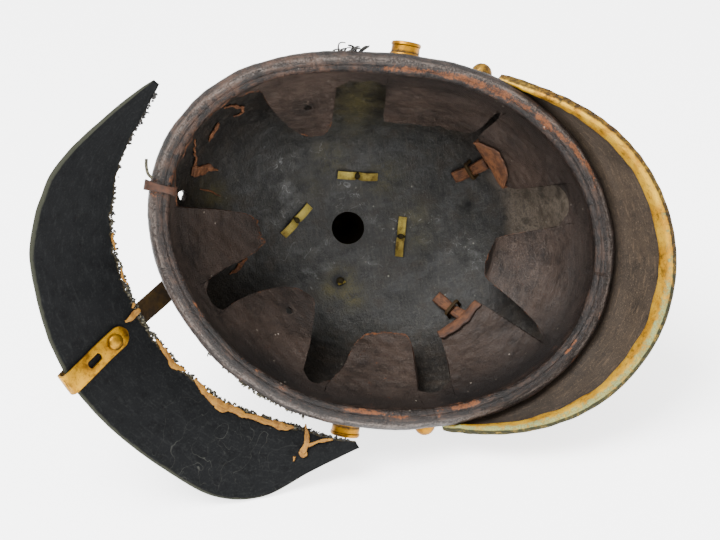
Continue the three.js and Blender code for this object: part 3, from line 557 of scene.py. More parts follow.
def lining_leather():
    skin = Finish("lining_leather")
    place, run = skin.place(), skin.mark("run", "Vector")
    roll, rub = skin.mark("roll"), skin.mark("rub")
    cloud, patch, fine = skin.noises(place, (34, 5, 0.6), (7, 6, 0.68), (0.9, 5, 0.7))
    creases = skin.noise(skin.stretch(run, 0.12, 1, 1), 1.7, 6, 0.7)
    wrinkles = skin.noise(skin.stretch(run, 1, 0.25, 0.25), 2.2, 5, 0.65, 0.6)
    fibre = skin.noise(skin.stretch(run, 0.16, 1, 1), 1.3, 5, 0.65)
    tone = skin.between(cloud * 0.55 + patch * 0.45, 0.36, 0.64)
    # The deep mark lays painted shade over the band's colour.
    band = skin.coats(
        skin.blend(tone, (25, 19, 16), (60, 48, 41)),
        (skin.between(patch, 0.53, 0.66), 0.5, (18, 14, 13)),
        (skin.between(fibre, 0.5, 0.66), 0.35, (74, 63, 55)),
        (skin.between(fine, 0.53, 0.64), 0.5, (13, 10, 10)),
        (skin.between(fine, 0.46, 0.34), 0.35, (80, 70, 62)),
        (skin.hairs(place, 14, 0.009), 0.25, (96, 84, 74)),
        (skin.mark("deep"), 0.6, (16, 13, 12)))
    brown = skin.mark("brown") * skin.between(patch + (creases - 0.5) * 0.8, 0.4, 0.6)
    # Painted highlight: a speckled light band along the roll's crest, in place of the lamps'
    # reflection.
    painted_highlight = skin.mark("roll_crest_highlight") * skin.between(fine * 0.6 + creases * 0.4, 0.44, 0.58)
    bead = skin.coats(
        skin.blend(tone, (9, 7, 6), (26, 19, 16)),
        (skin.between(creases + (patch - 0.5) * 0.6, 0.5, 0.62), 0.5, (62, 47, 38)),
        (brown, 0.6, (62, 42, 30)),
        (skin.between(wrinkles, 0.55, 0.63), 0.6, (8, 6, 6)),
        (skin.between(fine, 0.55, 0.64), 0.5, (7, 6, 6)),
        (skin.between(fine, 0.45, 0.35), 0.35, (82, 66, 56)),
        (painted_highlight, 0.62, (108, 98, 91)))
    orange = skin.blend(skin.between(fine * 0.5 + patch * 0.5, 0.35, 0.65),
                        (36, 20, 12), (112, 67, 38))
    grain = (patch - 0.5) * 2.4 + (fine - 0.5) * 2.2
    raw = skin.between(skin.mark("raw") * 1.1 + grain, 0.5, 0.85)
    flecks = skin.between(skin.noise(place, 2.2, 6, 0.75), 0.66, 0.74)
    specks = 1 - skin.between(skin.cells(place, 8), 0.03, 0.07)
    colour = skin.coats(
        skin.blend(roll, band, bead),
        (raw, 0.9, orange),
        (flecks * rub, 0.7, (132, 78, 50)),
        (specks * skin.between(cloud, 0.42, 0.6), 0.7, (150, 140, 128)))
    relief = (patch * 0.8 + fine * (0.8 + roll * 0.5) + creases * roll * 1.2 + fibre * 0.5
              - skin.between(wrinkles, 0.55, 0.64) * roll * 0.35 - raw * 0.25)
    return skin.cover(base_color=colour, specular_ior_level=0.25,
                      roughness=0.38 + patch * 0.26 + raw * 0.3 - roll * 0.14,
                      normal=skin.bump(relief, 0.6, 0.8))


def lining_wear(degrees, inset, z):
    """Rubbed raw and browned places, painted shade and the roll's painted highlight, by bearing and
    height.
    """
    raw = 0 * z
    for at, depth, length, width, strength in ROLL_RUBS:
        far = ((degrees - at + 180) % 360 - 180) / length
        off = (inset - depth) / width
        raw = np.maximum(raw, strength * np.exp(-far ** 2 - off ** 2) * (z < ROLL_TOP_Z))
    brown = smooth(165, 200, degrees) * (1 - smooth(238, 262, degrees))
    # Painted highlight along the roll's crest, lying further in from the rear round to the right.
    crest_at = 2.7 + 1.3 * smooth(170, 215, degrees) * (1 - smooth(300, 340, degrees))
    roll_crest_highlight = np.exp(-((inset - crest_at) / 1.3) ** 2) * (z < 6)
    # Painted shade on the tongues from the front round by the left to the rear. The band is also
    # darkened low down toward the roll, less so round the rear.
    deep = 0.6 * smooth(96, 120, degrees) * (1 - smooth(184, 200, degrees))
    deep += 0.5 * smooth(4, 30, degrees) * (1 - smooth(56, 62, degrees))
    deep += 0.25 * smooth(56, 62, degrees) * (1 - smooth(99, 105, degrees))
    rear = smooth(120, 150, degrees) * (1 - smooth(240, 265, degrees))
    deep += (1.15 - 1.0 * rear) * (1 - smooth(16, 50, z))
    run = np.stack([np.radians(degrees) * RUN_RADIUS, inset, z], -1) / 1000
    return {"raw": raw, "brown": brown, "deep": deep, "roll_crest_highlight": roll_crest_highlight,
            "rub": smooth(11, 3, z) * 0.8 + 0.2, "run": run}


def make_lining():
    tongues = [tongue_columns(row) for row in TONGUES]
    rows = []
    for i, tongue in enumerate(tongues):
        rows += [tongue, gap_columns(tongue, tongues[(i + 1) % len(tongues)])]
    root, tip, top, lean, raw_edge, bend = np.concatenate(rows).T[:, :, None]

    def band(share, behind):
        z = mixed(BAND_FOOT_Z, top, share)
        lift = np.clip(z - SLIT_Z, 0, None) / (TONGUE_TIP_Z - SLIT_Z)
        bearing = np.radians(mixed(root, tip, lift))
        inset = BAND_INSET + lean * (z / TONGUE_TIP_Z) ** 2 - behind
        inset = inset - bend * smooth(64, 76, z) ** 1.4
        return bearing, inset, z

    edge = [(0.996, 0.15), (1.0, 0.5), (1.0, 1.4), (0.996, 1.75)]
    up = 1 - (1 - np.linspace(0, 0.985, BAND_ROWS)) ** 1.25
    share = np.concatenate([up, [e[0] for e in edge], [0.985, 0.8, 0.5, 0.2, 0]])
    behind = np.concatenate([0 * up, [e[1] for e in edge], [BAND_WALL] * 5])
    bearing, inset, z = band(share[None, :], behind[None, :])
    profile = through(ROLL_PROFILE, ROLL_STEPS)
    roll_bearing = np.radians(root) + 0 * profile[None, :, 0]
    groove = np.array([(GROOVE_IN, 6.4), (GROOVE_IN, GROOVE_Z), (GROOVE_OUT, GROOVE_Z)])
    groove_bearing = np.radians(root) + 0 * groove[None, :, 0]
    all_bearing = np.concatenate([roll_bearing, bearing, groove_bearing], 1)
    all_inset = np.concatenate([0 * roll_bearing + profile[:, 0], inset,
                                0 * groove_bearing + groove[:, 0]], 1)
    all_z = np.concatenate([0 * roll_bearing + profile[:, 1], z,
                            0 * groove_bearing + groove[:, 1]], 1)
    points = rim_point(all_bearing, -all_inset, all_z)
    ring = points.shape[1]
    column = np.arange(ring)
    on_roll = 1 - smooth(ROLL_STEPS - 1, ROLL_STEPS + 4, column)[None, :]
    lumps = 0.16 * unevenness(points, 26, 11) + 0.04 * unevenness(points, 5, 12)
    face = ((column > 1) & (column < ring - 5))[None, :]
    away = unit(points - rim_point(all_bearing, -6.5, 5.0) + 1e-9)
    points = points + away * (lumps * on_roll * face)[..., None]
    inward = -np.stack([np.cos(all_bearing), np.sin(all_bearing), 0 * all_bearing], -1)
    ripple = 0.5 * unevenness(points, 30, 13) + 0.15 * unevenness(points, 8, 14)
    on_band = smooth(12, 30, all_z)
    points = points + inward * (ripple * on_band)[..., None]
    degrees = np.degrees(all_bearing) % 360
    near_top = np.concatenate([0 * profile[:, 0], np.exp(-((share - 1) / 0.014) ** 2),
                               0 * groove[:, 0]])
    cut_edge = np.maximum(raw_edge * near_top, 0.75 * (
        np.exp(-((top - all_z) / 1.6) ** 2) * (raw_edge > 0.8)))
    marks = lining_wear(degrees, all_inset, all_z) | {"roll": on_roll + 0 * all_z}
    marks["raw"] = np.maximum(marks["raw"], cut_edge * (all_z > ROLL_TOP_Z))
    # Painted shade on the front tongue's tip, which bends back toward the wall.
    marks["deep"] = np.maximum(marks["deep"], 1.25 * smooth(66.5, 69.5, all_z) * (bend > 0))
    piece = make("lining_band", points, quads(len(points), ring, True, True),
                 lining_leather(), marks, stands_for=["lining"])
    pierce_lace_holes(piece)


def pierce_lace_holes(piece):
    for at, height, slant in LACE_HOLES:
        turn = math.radians(at)
        inset = BAND_INSET + slant * (height / TONGUE_TIP_Z) ** 2 - BAND_WALL / 2
        radial = np.array([math.cos(turn), math.sin(turn), 0.0])
        level = np.array([-math.sin(turn), math.cos(turn), 0.0])
        upward = unit(np.array([0, 0, 1.0]) - radial * 2 * slant * height / TONGUE_TIP_Z ** 2)
        axes = np.array([level, upward, np.cross(level, upward)])
        a = np.linspace(0, 2 * np.pi, 20, endpoint=False)
        outline = np.stack([np.cos(a), (1.25 + 0.1 * np.sin(3 * a)) * np.sin(a)], -1)
        pierce(piece, LACE_HOLE_R * outline, (rim_point(turn, -inset, height), axes), 3.2)


make_lining()

# ---- Folded tongue edges -----------------------------------------------------------------
# Two tongues have curled right over at the tip, which turns the raw tan side of the leather
# toward the opening: a long lens at the right front and a narrow strip at the left front.
FOLDED_EDGES = [  # name, tongue, shares of the tip, width, how round, how much painted shade darkens it
    ("right_front", 7, 0.03, 0.93, 10.0, 1.0, 0.0),
    ("left_front", 1, 0.01, 0.99, 4.4, 0.12, 0.8),
]
FOLD_STEPS = [  # below the tongue's tip, and off its face, over the fold
    (2.0, -2.6), (0.2, -2.5), (-1.1, -1.2), (-0.8, 0.5), (0.6, 1.3), (2.6, 1.4), (5.0, 1.2),
]
FOLD_LENGTH, FOLD_ROUND = 34, 9


def closer_at_ends(count, length, edge):
    """Shares from 0 to 1 with a few close steps inside each end's rounding."""
    near = np.array([0, 0.12, 0.42, 1.0]) * edge / length
    middle = np.linspace(near[-1], 1 - near[-1], count)[1:-1]
    return np.concatenate([near, middle, 1 - near[::-1]])


def sheet(surface, counts, lengths, thick, edge):
    """A closed sheet of even thickness with rounded edges, its middle given by surface(u, v).

    Returns its points, its faces, how many of those are on the first side, how near each
    point is to the sheet's edge, and the points' shares along and across."""
    u = closer_at_ends(counts[0], lengths[0], edge)
    v = closer_at_ends(counts[1], lengths[1], edge)
    uu, vv = np.meshgrid(u, v, indexing="ij")
    middle = surface(uu, vv)
    normal = unit(np.cross(np.gradient(middle, axis=0), np.gradient(middle, axis=1)) + 1e-12)
    inside = np.minimum(np.minimum(uu, 1 - uu) * lengths[0], np.minimum(vv, 1 - vv)
                        * lengths[1])
    round_off = np.sqrt(np.clip(1 - (1 - np.clip(inside / edge, 0, 1)) ** 2, 0, 1))
    lift = (normal * (thick / 2 * round_off)[..., None]).reshape(-1, 3)
    middle = middle.reshape(-1, 3)
    rows, ring = len(u), len(v)
    number = np.arange(rows * ring).reshape(rows, ring)
    behind = number.copy()
    behind[1:-1, 1:-1] = rows * ring + np.arange((rows - 2) * (ring - 2)).reshape(
        rows - 2, ring - 2)
    core = number[1:-1, 1:-1].ravel()
    points = np.vstack([middle + lift, (middle - lift)[core]])
    faces = quads(rows, ring, False, False)
    other = np.array([behind.ravel()[face[::-1]] for face in np.array(faces)])
    spread = [np.concatenate([a.ravel(), a.ravel()[core]]) for a in (inside, uu, vv)]
    return points, faces + other.tolist(), len(faces), spread


def split_hide(name, pale, deep, seam):
    hide = Finish(name)
    place, run = hide.place(), hide.mark("run", "Vector")
    patch, fine = hide.noises(place, (3.5, 6, 0.7), (0.8, 5, 0.65))
    streak = hide.noise(hide.stretch(run, 0.15, 1, 1), 0.9, 5, 0.65)
    colour = hide.coats(
        hide.blend(hide.between(patch * 0.5 + streak * 0.5, 0.38, 0.62), deep, pale),
        (hide.between(fine, 0.58, 0.74), 0.5, seam),
        (hide.between(streak, 0.58, 0.7), 0.5, seam),
        (hide.mark("edge"), 0.5, seam))
    return hide.cover(base_color=colour, roughness=0.62 + patch * 0.15, specular_ior_level=0.35,
                      normal=hide.bump(patch + fine * 0.5 + streak * 0.5, 0.3, 0.7))


orange_hide = split_hide("raw_orange_hide", (112, 70, 41), (60, 35, 20), (32, 18, 11))


def make_folded_edge(name, tongue, start, end, width, roundness, painted_shade):
    row = TONGUES[tongue]
    root, tip, _, lean = row[:4]

    def surface(u, v):
        share = mixed(start, end, u)
        swell = mixed(1.0, np.clip(np.sin(np.pi * u), 0.02, 1) ** 0.7, roundness)
        ragged = 1 + 0.07 * unevenness(run_along(u * 30), 6, tongue)
        below, off = np.moveaxis(through(FOLD_STEPS, v), -1, 0)
        below = below * swell * ragged * width / FOLD_STEPS[-1][0]
        z = tongue_top(row, np.clip(share, 0.08, 0.92))[0] - below
        lift = (z - SLIT_Z) / (TONGUE_TIP_Z - SLIT_Z)
        bearing = np.radians(mixed(mixed(*root, share), mixed(*tip, share), lift))
        inset = BAND_INSET + lean * (z / TONGUE_TIP_Z) ** 2 + off + 0.5
        return rim_point(bearing, -inset, z)

    points, faces, _, (inside, u, v) = sheet(
        surface, (46, 16), (FOLD_LENGTH, FOLD_ROUND), 1.1, 0.5)
    # The edge mark darkens the strip near its edges, and over the whole left front strip it also
    # lays painted shade.
    make(f"folded_edge_{name}", points, faces, orange_hide, {
        "edge": np.exp(-inside / 0.7) + painted_shade,
        "run": run_along(u * FOLD_LENGTH, v * FOLD_ROUND) / 1000})


for row in FOLDED_EDGES:
    make_folded_edge(*row)

# ---- Front visor -------------------------------------------------------------------------
# The front peak, one thick piece of leather sewn under the shell's edge and bent down. Its
# top is lacquered like the shell; its underside is bare, brown and rubbed.
VISOR_WALL, VISOR_REACH, VISOR_END_REACH = 2.8, 17.0, 3.5
VISOR_HALF, VISOR_EDGE, VISOR_DEEP = math.radians(62), 250, 40
VISOR_SHRUNK = [  # share of the way to its left end, how far the leather has drawn back
    (-1, 2.9), (-0.96, 3.8), (-0.9, 4.7), (-0.85, 5.1), (-0.8, 5.1), (-0.7, 4.5), (-0.6, 3.5),
    (-0.45, 2.6), (-0.2, 2.3), (0.2, 2.6), (0.5, 2.4), (0.7, 3.0), (0.85, 3.6), (0.93, 3.7),
    (1, 3.0),
]
VISOR_ROOT_Z, VISOR_TIP_Z, VISOR_END_Z, VISOR_BOW = 10.8, -27.0, 8.0, 1.2


def visor_point(bearing, across, lift):
    u = np.abs(bearing) / VISOR_HALF
    shrunk = np.interp(bearing / VISOR_HALF, *np.array(VISOR_SHRUNK).T)
    reach = VISOR_END_REACH + VISOR_REACH * np.cos(u * np.pi / 2) - shrunk
    tip_z = mixed(VISOR_TIP_Z, VISOR_END_Z, u * u)
    root = 0.3 - SHELL_INSET
    slope = np.arctan2(VISOR_ROOT_Z - tip_z, reach - root)
    off = lift + VISOR_BOW * 4 * across * (1 - across)
    out = np.maximum(mixed(root, reach, across) + off * np.sin(slope), root)
    return rim_point(bearing, out, mixed(VISOR_ROOT_Z, tip_z, across) + off * np.cos(slope))


def visor_lacquer():
    skin = Finish("visor_lacquer")
    place = skin.place()
    crackle = skin.cells(place, 2.0, "DISTANCE_TO_EDGE")
    cloud, patch = skin.noises(place, (30, 4), (12, 6, 0.65))
    colour = skin.coats(skin.blend(cloud, (10, 9, 9), (24, 21, 19)),
                        (skin.between(patch, 0.58, 0.72), 0.6, (58, 38, 27)))
    return skin.cover(base_color=colour, roughness=cloud * 0.25 + 0.3, specular_ior_level=0.12,
                      normal=skin.bump(crackle * 0.8 + cloud, 0.4, 0.6))


def visor_underside():
    skin = Finish("visor_underside")
    place, run = skin.place(), skin.mark("run", "Vector")
    cloud, patch, fine = skin.noises(place, (26, 5, 0.6), (6, 6, 0.7), (0.8, 5, 0.7))
    fibre = skin.noise(skin.stretch(run, 0.2, 1, 1), 1.6, 5, 0.6)
    tone = skin.between(cloud * 0.5 + patch * 0.5, 0.36, 0.64)
    # The shade mark lays painted shade over the underside's colour.
    colour = skin.coats(
        skin.blend(tone, (28, 22, 16), (50, 40, 30)),
        (skin.between(patch, 0.52, 0.66), 0.5, (26, 20, 15)),
        (skin.between(fibre, 0.52, 0.7), 0.35, (88, 72, 55)),
        (skin.between(fine, 0.54, 0.66), 0.5, (20, 15, 11)),
        (skin.between(fine, 0.45, 0.33), 0.35, (104, 88, 70)),
        (skin.mark("shade"), 0.8, (24, 20, 17)),
        (1 - skin.between(skin.cells(place, 5), 0.04, 0.1), 0.5, (14, 11, 8)))
    return skin.cover(base_color=colour, roughness=patch * 0.3 + 0.45, specular_ior_level=0.25,
                      normal=skin.bump(patch * 0.5 + fine * 0.35 + fibre * 0.3, 0.35, 0.6))


def make_front_visor():
    def surface(u, v):
        bearing = mixed(-VISOR_HALF, VISOR_HALF, u)
        points = visor_point(bearing, v * 0.985, VISOR_WALL / 2)
        return points + [0, 0, 0.35] * unevenness(points, 24, 21)[..., None]

    points, faces, first, (_, u, v) = sheet(
        surface, (170, 36), (VISOR_EDGE, VISOR_DEEP), VISOR_WALL, 1.2)
    # Painted shade on the underside: darker along the root under the shell's edge, at the right end
    # and toward the left end.
    shade = np.maximum(np.exp(-(v / 0.22) ** 2), 0.8 * np.exp(-((u - 0.04) / 0.14) ** 2))
    shade = np.maximum(shade, 0.4 * smooth(0.6, 0.85, u))
    run = run_along(u * VISOR_EDGE, v * VISOR_DEEP) / 1000
    piece = make("front_peak", points, faces, [visor_underside(), visor_lacquer()],
                 {"run": run, "shade": shade}, stands_for=["front_visor"])
    on_top = np.arange(len(faces)) >= first
    piece.data.polygons.foreach_set("material_index", on_top.astype(int))


make_front_visor()

# ---- Front visor's trim ------------------------------------------------------------------
# A brass channel crimped over the peak's edge, riveted at both ends. Handling has left the
# underside gold and ochre, and pale green verdigris grows on its outer half.
TRIM_WALL, TRIM_GAP, TRIM_LEG, TRIM_END_LEG = 0.8, 0.45, 6.8, 2.6


def brass(name, gold, ochre, tarnish=0.35, dull=0.0):
    metal = Finish(name)
    place = metal.place()
    cloud, patch, fine = metal.noises(place, (11, 5, 0.6), (2.6, 6, 0.7), (0.7, 4, 0.6))
    brown = metal.between(patch + (cloud - 0.5) * 0.6, 0.6 - tarnish * 0.25, 0.72)
    green = metal.between(metal.mark("green") + (patch - 0.5) * 1.3, 0.4, 0.75)
    # This mark darkens the brass with dirt and age; inside the spike's bore it lays painted shade.
    dirt_and_shade = metal.between(metal.mark("dirt_and_shade") + (patch - 0.5) * 0.9, 0.4, 0.8)
    verdigris = metal.blend(metal.between(fine * 0.5 + patch * 0.5, 0.35, 0.65),
                            (60, 68, 34), (118, 132, 92))
    colour = metal.coats(
        metal.blend(metal.between(cloud, 0.35, 0.65), gold, ochre),
        (brown, 0.75, (62, 44, 14)),
        (metal.between(fine, 0.55, 0.68), 0.4, (52, 38, 14)),
        (green, 0.85, verdigris),
        (dirt_and_shade, 0.92, (18, 16, 13)))
    return metal.cover(
        base_color=colour, metallic=(1 - green) * (1 - dirt_and_shade) * (0.85 - dull * 0.6),
        roughness=0.3 + patch * 0.2 + (green + dirt_and_shade) * 0.3 + dull * 0.2,
        specular_ior_level=0.15,
        normal=metal.bump(patch * 0.6 + fine * 0.3 + green * 0.4, 0.25, 0.5))


trim_brass = brass("trim_brass", (192, 150, 40), (158, 110, 20), 0.36, 0.5)


def make_trim():
    bearing = np.linspace(-VISOR_HALF, VISOR_HALF, 260)
    edge = visor_point(bearing, 1.0, 0.0)
    across = unit(edge - visor_point(bearing, 0.68, 0.0))
    off = unit(visor_point(bearing, 1.0, VISOR_WALL) - edge)
    u = np.abs(bearing) / VISOR_HALF
    wander = unevenness(run_along(bearing * 110), 16, 31)
    leg = mixed(TRIM_LEG, TRIM_END_LEG, u ** 3) + 0.5 * wander * (1 - u ** 4)
    leg = leg * (0.25 + 0.75 * smooth(1, 0.93, u))
    near, far = TRIM_GAP, TRIM_GAP + TRIM_WALL
    over = VISOR_WALL + far
    section = [
        (-leg, -far + 0.25), (-leg + 0.5, -far - 0.05), (-leg * 0.72, -far - 0.2),
        (-leg * 0.4, -far - 0.25), (-leg * 0.15, -far - 0.12), (far * 0.35, -far + 0.15),
        (far * 0.8, -far * 0.35), (far + 0.05, VISOR_WALL * 0.3),
        (far + 0.05, VISOR_WALL * 0.7), (far * 0.8, over - far * 0.65),
        (far * 0.3, over - 0.1), (-leg * 0.5, over + 0.1), (-leg + 0.4, over),
        (-leg, over - 0.3), (-leg, over - TRIM_WALL), (near * 0.5, over - TRIM_WALL),
        (near, VISOR_WALL * 0.8), (near, VISOR_WALL * 0.2), (near * 0.5, -near),
        (-leg, -near),
    ]
    points = np.stack([edge + across * np.reshape(a + 0 * u, (-1, 1)) + off * h
                       for a, h in section], 1)
    points += off[:, None] * (0.1 * unevenness(points, 9, 32))[..., None]
    outer = np.array([smooth(-0.62, 0.05, np.mean(a) / TRIM_LEG) for a, h in section])
    toward_left = smooth(-0.45, 0.25, bearing / VISOR_HALF)
    green = outer[None, :] * (0.3 + 0.45 * toward_left[:, None])
    number = np.arange(len(section))[None, :]
    green = np.maximum(green, 0.6 * (number > 5) * (number < 10) * toward_left[:, None])
    top_end = 1 - smooth(-0.8, -0.35, bearing / VISOR_HALF)
    dirt_and_shade = np.maximum(0.42 * top_end[:, None] * (number > 4),
                      0.75 * (np.abs(number - 8.5) < 2))
    make("front_peak_trim", points, bar_faces(len(points), len(section)), trim_brass,
         {"green": green, "dirt_and_shade": dirt_and_shade}, 55, ["front_visor_trim"])


make_trim()

# ---- Torn rear visor ---------------------------------------------------------------------
# The rear peak, torn off along its seam and warped as it dried. Its underside is black and
# scratched, its cut outer edge is worn to an olive grey, and its torn edge is fringed with
# broken stitches and with flakes of split tan hide.
TORN_EDGES = [  # torn inner edge and trimmed outer edge, right horn to left horn
    ((-113, -56, -20), (-115, -58, -20)), ((-120, -38, -12), (-135, -36, -23)),
    ((-127, -19, -4), (-150, -15, -30)), ((-128, 3, 4), (-157, 5, -29)),
    ((-126, 19, 11), (-159, 26, -23)), ((-118, 38, 17), (-155, 47, -15)),
    ((-108, 55, 22), (-147, 68, -8)), ((-98, 66, 26), (-137, 85, -2)),
    ((-83, 79, 28), (-127, 97, 3)), ((-62, 91, 28), (-109, 112, 8)),
    ((-47, 95, 27), (-86, 126, 13)), ((-32, 97, 23), (-60, 137, 17)),
    ((-19, 98, 18), (-36, 134, 16)), ((-7, 99, 10), (-14, 117, 12)),
    ((4, 98, 3), (7, 100, 2)),
]
SPINE_INNER, SPINE_OUTER = 0.43, 0.515
TORN_LENGTH, TORN_DEEP, SEAM_LENGTH, STITCH_STEP = 300, 46, 330, 3.6


def crossing(across):
    """Where along the torn peak the rear spine lies."""
    return mixed(SPINE_INNER, SPINE_OUTER, across)


def torn_middle(along, across):
    along = np.clip(along, 0, 1)
    inner = through([row[0] for row in TORN_EDGES], along)
    outer = through([row[1] for row in TORN_EDGES], along)
    return mixed(inner, outer, np.asarray(across)[..., None])


def torn_point(along, across, lift):
    """A point off the torn peak's middle, toward its top side where lift is positive."""
    along, across, lift = np.broadcast_arrays(along, across, lift)
    ahead = torn_middle(np.minimum(along + 0.02, 1), across)
    run = ahead - torn_middle(np.maximum(along - 0.02, 0), across)
    width = torn_middle(along, across * 0 + 1.0) - torn_middle(along, across * 0.0)
    off = unit(np.cross(run, width))
    return torn_middle(along, across) + off * lift[..., None]


def torn_leather():
    skin = Finish("torn_peak_leather")
    place, run = skin.place(), skin.mark("run", "Vector")
    cloud, patch, fine = skin.noises(place, (30, 5, 0.6), (6, 6, 0.7), (1.0, 5, 0.65))
    fibre = skin.noise(skin.stretch(run, 0.25, 1, 1), 1.8, 5, 0.65)
    line = skin.hairs(place, 26, 0.004, 1.6) + skin.hairs(place, 15, 0.003, 1.0) * 0.6
    line = line * skin.between(cloud + (patch - 0.5) * 0.5, 0.42, 0.62)
    worn = skin.between(skin.mark("rim") + (patch - 0.5) * 0.8, 0.55, 0.95)
    frayed = skin.between(skin.mark("torn") + (fine - 0.5) * 0.9, 0.45, 0.8)
    colour = skin.coats(
        skin.blend(cloud, (5, 6, 7), (11, 12, 13)),
        (skin.between(patch, 0.5, 0.66), 0.6, (2, 2, 3)),
        (skin.between(fibre, 0.53, 0.66), 0.35, (30, 31, 31)),
        (skin.between(fine, 0.53, 0.66), 0.45, (30, 31, 30)),
        (line, skin.mark("scratched") * 0.3 + 0.02, (84, 84, 78)),
        (worn, 0.8, (48, 49, 40)),
        (frayed, 0.7, (66, 58, 40)))
    relief = patch * 0.5 + fine * 0.4 + fibre * 0.3 - line * 0.1
    return skin.cover(base_color=colour, roughness=0.62 + patch * 0.25 + worn * 0.1,
                      specular_ior_level=0.1, normal=skin.bump(relief, 0.45, 0.7))


def make_torn_peak():
    def surface(u, v):
        along = mixed(0.003, 0.997, u)
        stitches = 0.010 * np.abs(np.sin(along * SEAM_LENGTH / STITCH_STEP * np.pi)) ** 6
        line = run_along(along * TORN_LENGTH)
        rag = 0.012 * unevenness(line, 9, 41) + 0.008 * unevenness(line, 2.6, 42) + stitches
        across = v + np.clip(rag + 0.012, 0, None) * (1 - v) ** 6
        points = torn_point(along, across, 0.0)
        clear = smooth(0.03, 0.09, np.abs(along - crossing(across)))
        swell = clear * (0.35 * unevenness(points, 45, 43) + 0.12 * unevenness(points, 12, 44))
        return points + (torn_point(along, across, 1.0) - points) * swell[..., None]

    points, faces, _, (_, u, v) = sheet(
        surface, (330, 48), (TORN_LENGTH, TORN_DEEP), VISOR_WALL, 1.1)
    marks = {
        "run": run_along(u * TORN_LENGTH, v * TORN_DEEP) / 1000,
        "rim": np.exp(-((1 - v) / 0.045) ** 2), "torn": np.exp(-(v / 0.05) ** 2),
        "scratched": smooth(0.55, 0.8, u) * (1 - smooth(0.9, 0.98, u)),
    }
    make("torn_peak", points, faces, torn_leather(), marks,
         stands_for=["rear_visor"])


make_torn_peak()

# ---- Split hide on the torn edge, and scraps left in the shell ---------------------------
# Where the peak and the missing tongue tore away, the leather split: ragged strips of raw tan
# hide are left, still glued or stitched where they were.
FLAKES = [  # points along and across the torn peak, width at each point in mm, lift
    ([(0.413, 0.0), (0.42, 0.07), (0.428, 0.13), (0.43, 0.2)], (2.5, 4.2, 3.8, 1.5), 0.2),
    ([(0.40, 0.02), (0.408, 0.06)], (2.0, 1.4), 0.2),
    ([(0.495, 0.01), (0.515, 0.035), (0.54, 0.05), (0.565, 0.045), (0.575, 0.02)],
     (1.4, 2.8, 4.4, 4.0, 1.6), 0.2),
    ([(0.592, 0.015), (0.61, 0.05), (0.63, 0.075), (0.655, 0.085), (0.69, 0.075),
      (0.72, 0.065), (0.75, 0.06), (0.785, 0.06), (0.81, 0.055), (0.828, 0.03)],
     (1.4, 4.2, 5.8, 6.0, 4.8, 4.0, 4.2, 5.2, 4.8, 2.0), 0.3),
    ([(0.852, -0.05), (0.862, 0.03), (0.874, 0.13), (0.882, 0.24), (0.884, 0.36)],
     (1.2, 2.2, 3.0, 3.4, 4.2), 0.9),
    ([(0.938, 0.04), (0.922, 0.1), (0.905, 0.17), (0.889, 0.25)], (1.2, 1.8, 2.2, 2.6), 0.7),
    ([(0.878, 0.33), (0.886, 0.38), (0.897, 0.4)], (3.4, 5.0, 2.4), 0.4),
    ([(0.872, 0.42), (0.876, 0.5)], (1.8, 1.0), 0.2),
    ([(0.27, 0.01), (0.29, 0.03), (0.305, 0.015)], (1.0, 2.0, 1.0), 0.1),
    ([(0.335, 0.01), (0.35, 0.035), (0.365, 0.01)], (1.0, 2.2, 1.0), 0.1),
]
SCRAPS = [  # bearings and heights on the shell's wall, width at each point in mm
    ([(190.5, 72), (191.6, 76), (193, 81), (194.4, 87), (195, 91)], (8.5, 8.8, 6.5, 3.6, 1.2)),
    ([(200.5, 56), (199, 60), (197, 65), (195.6, 70), (193.6, 73)], (1.2, 1.7, 1.5, 1.8, 3)),
    ([(202.5, 73), (203.6, 71), (205.5, 69), (207.8, 67), (209, 65)],
     (1.2, 3.4, 4.4, 3.8, 1.4)),
    ([(213.5, 52), (215, 55), (216.6, 60), (217.8, 67), (217, 72), (214, 70)],
     (1.0, 1.6, 2.0, 2.4, 2.0, 1.0)),
    ([(156, 106), (154.2, 102), (152.6, 97.5), (152, 93)], (1.4, 3.6, 3.0, 1.2)),
    ([(186.2, 84), (186.4, 90), (185.5, 96)], (1.0, 1.6, 1.0)),
]
yellow_hide = split_hide("split_yellow_hide", (146, 102, 28), (96, 60, 14), (46, 29, 12))


def sweep(path, side, width, thick, corner):
    """A strip along a path, with rounded corners; side points across its width."""
    path, side = np.asarray(path, float), np.asarray(side, float)
    run = unit(np.gradient(path, axis=0))
    side = unit(side - run * (side * run).sum(-1, keepdims=True))
    off = np.cross(run, side)
    w = np.broadcast_to(np.asarray(width, float) / 2, len(path))[:, None]
    h = np.broadcast_to(np.asarray(thick, float) / 2, len(path))[:, None]
    c = np.minimum(corner, np.minimum(w, h) * 0.9)
    bend = np.radians([0, 45, 90])
    a, b = [], []
    for sx, sy in ((1, 1), (-1, 1), (-1, -1), (1, -1)):
        angle = bend[::sx * sy]
        a.append(sx * (w - c + c * np.cos(angle)))
        b.append(sy * (h - c + c * np.sin(angle)))
    a, b = np.concatenate(a, 1), np.concatenate(b, 1)
    points = path[:, None] + side[:, None] * a[..., None] + off[:, None] * b[..., None]
    return points, bar_faces(*points.shape[:2])


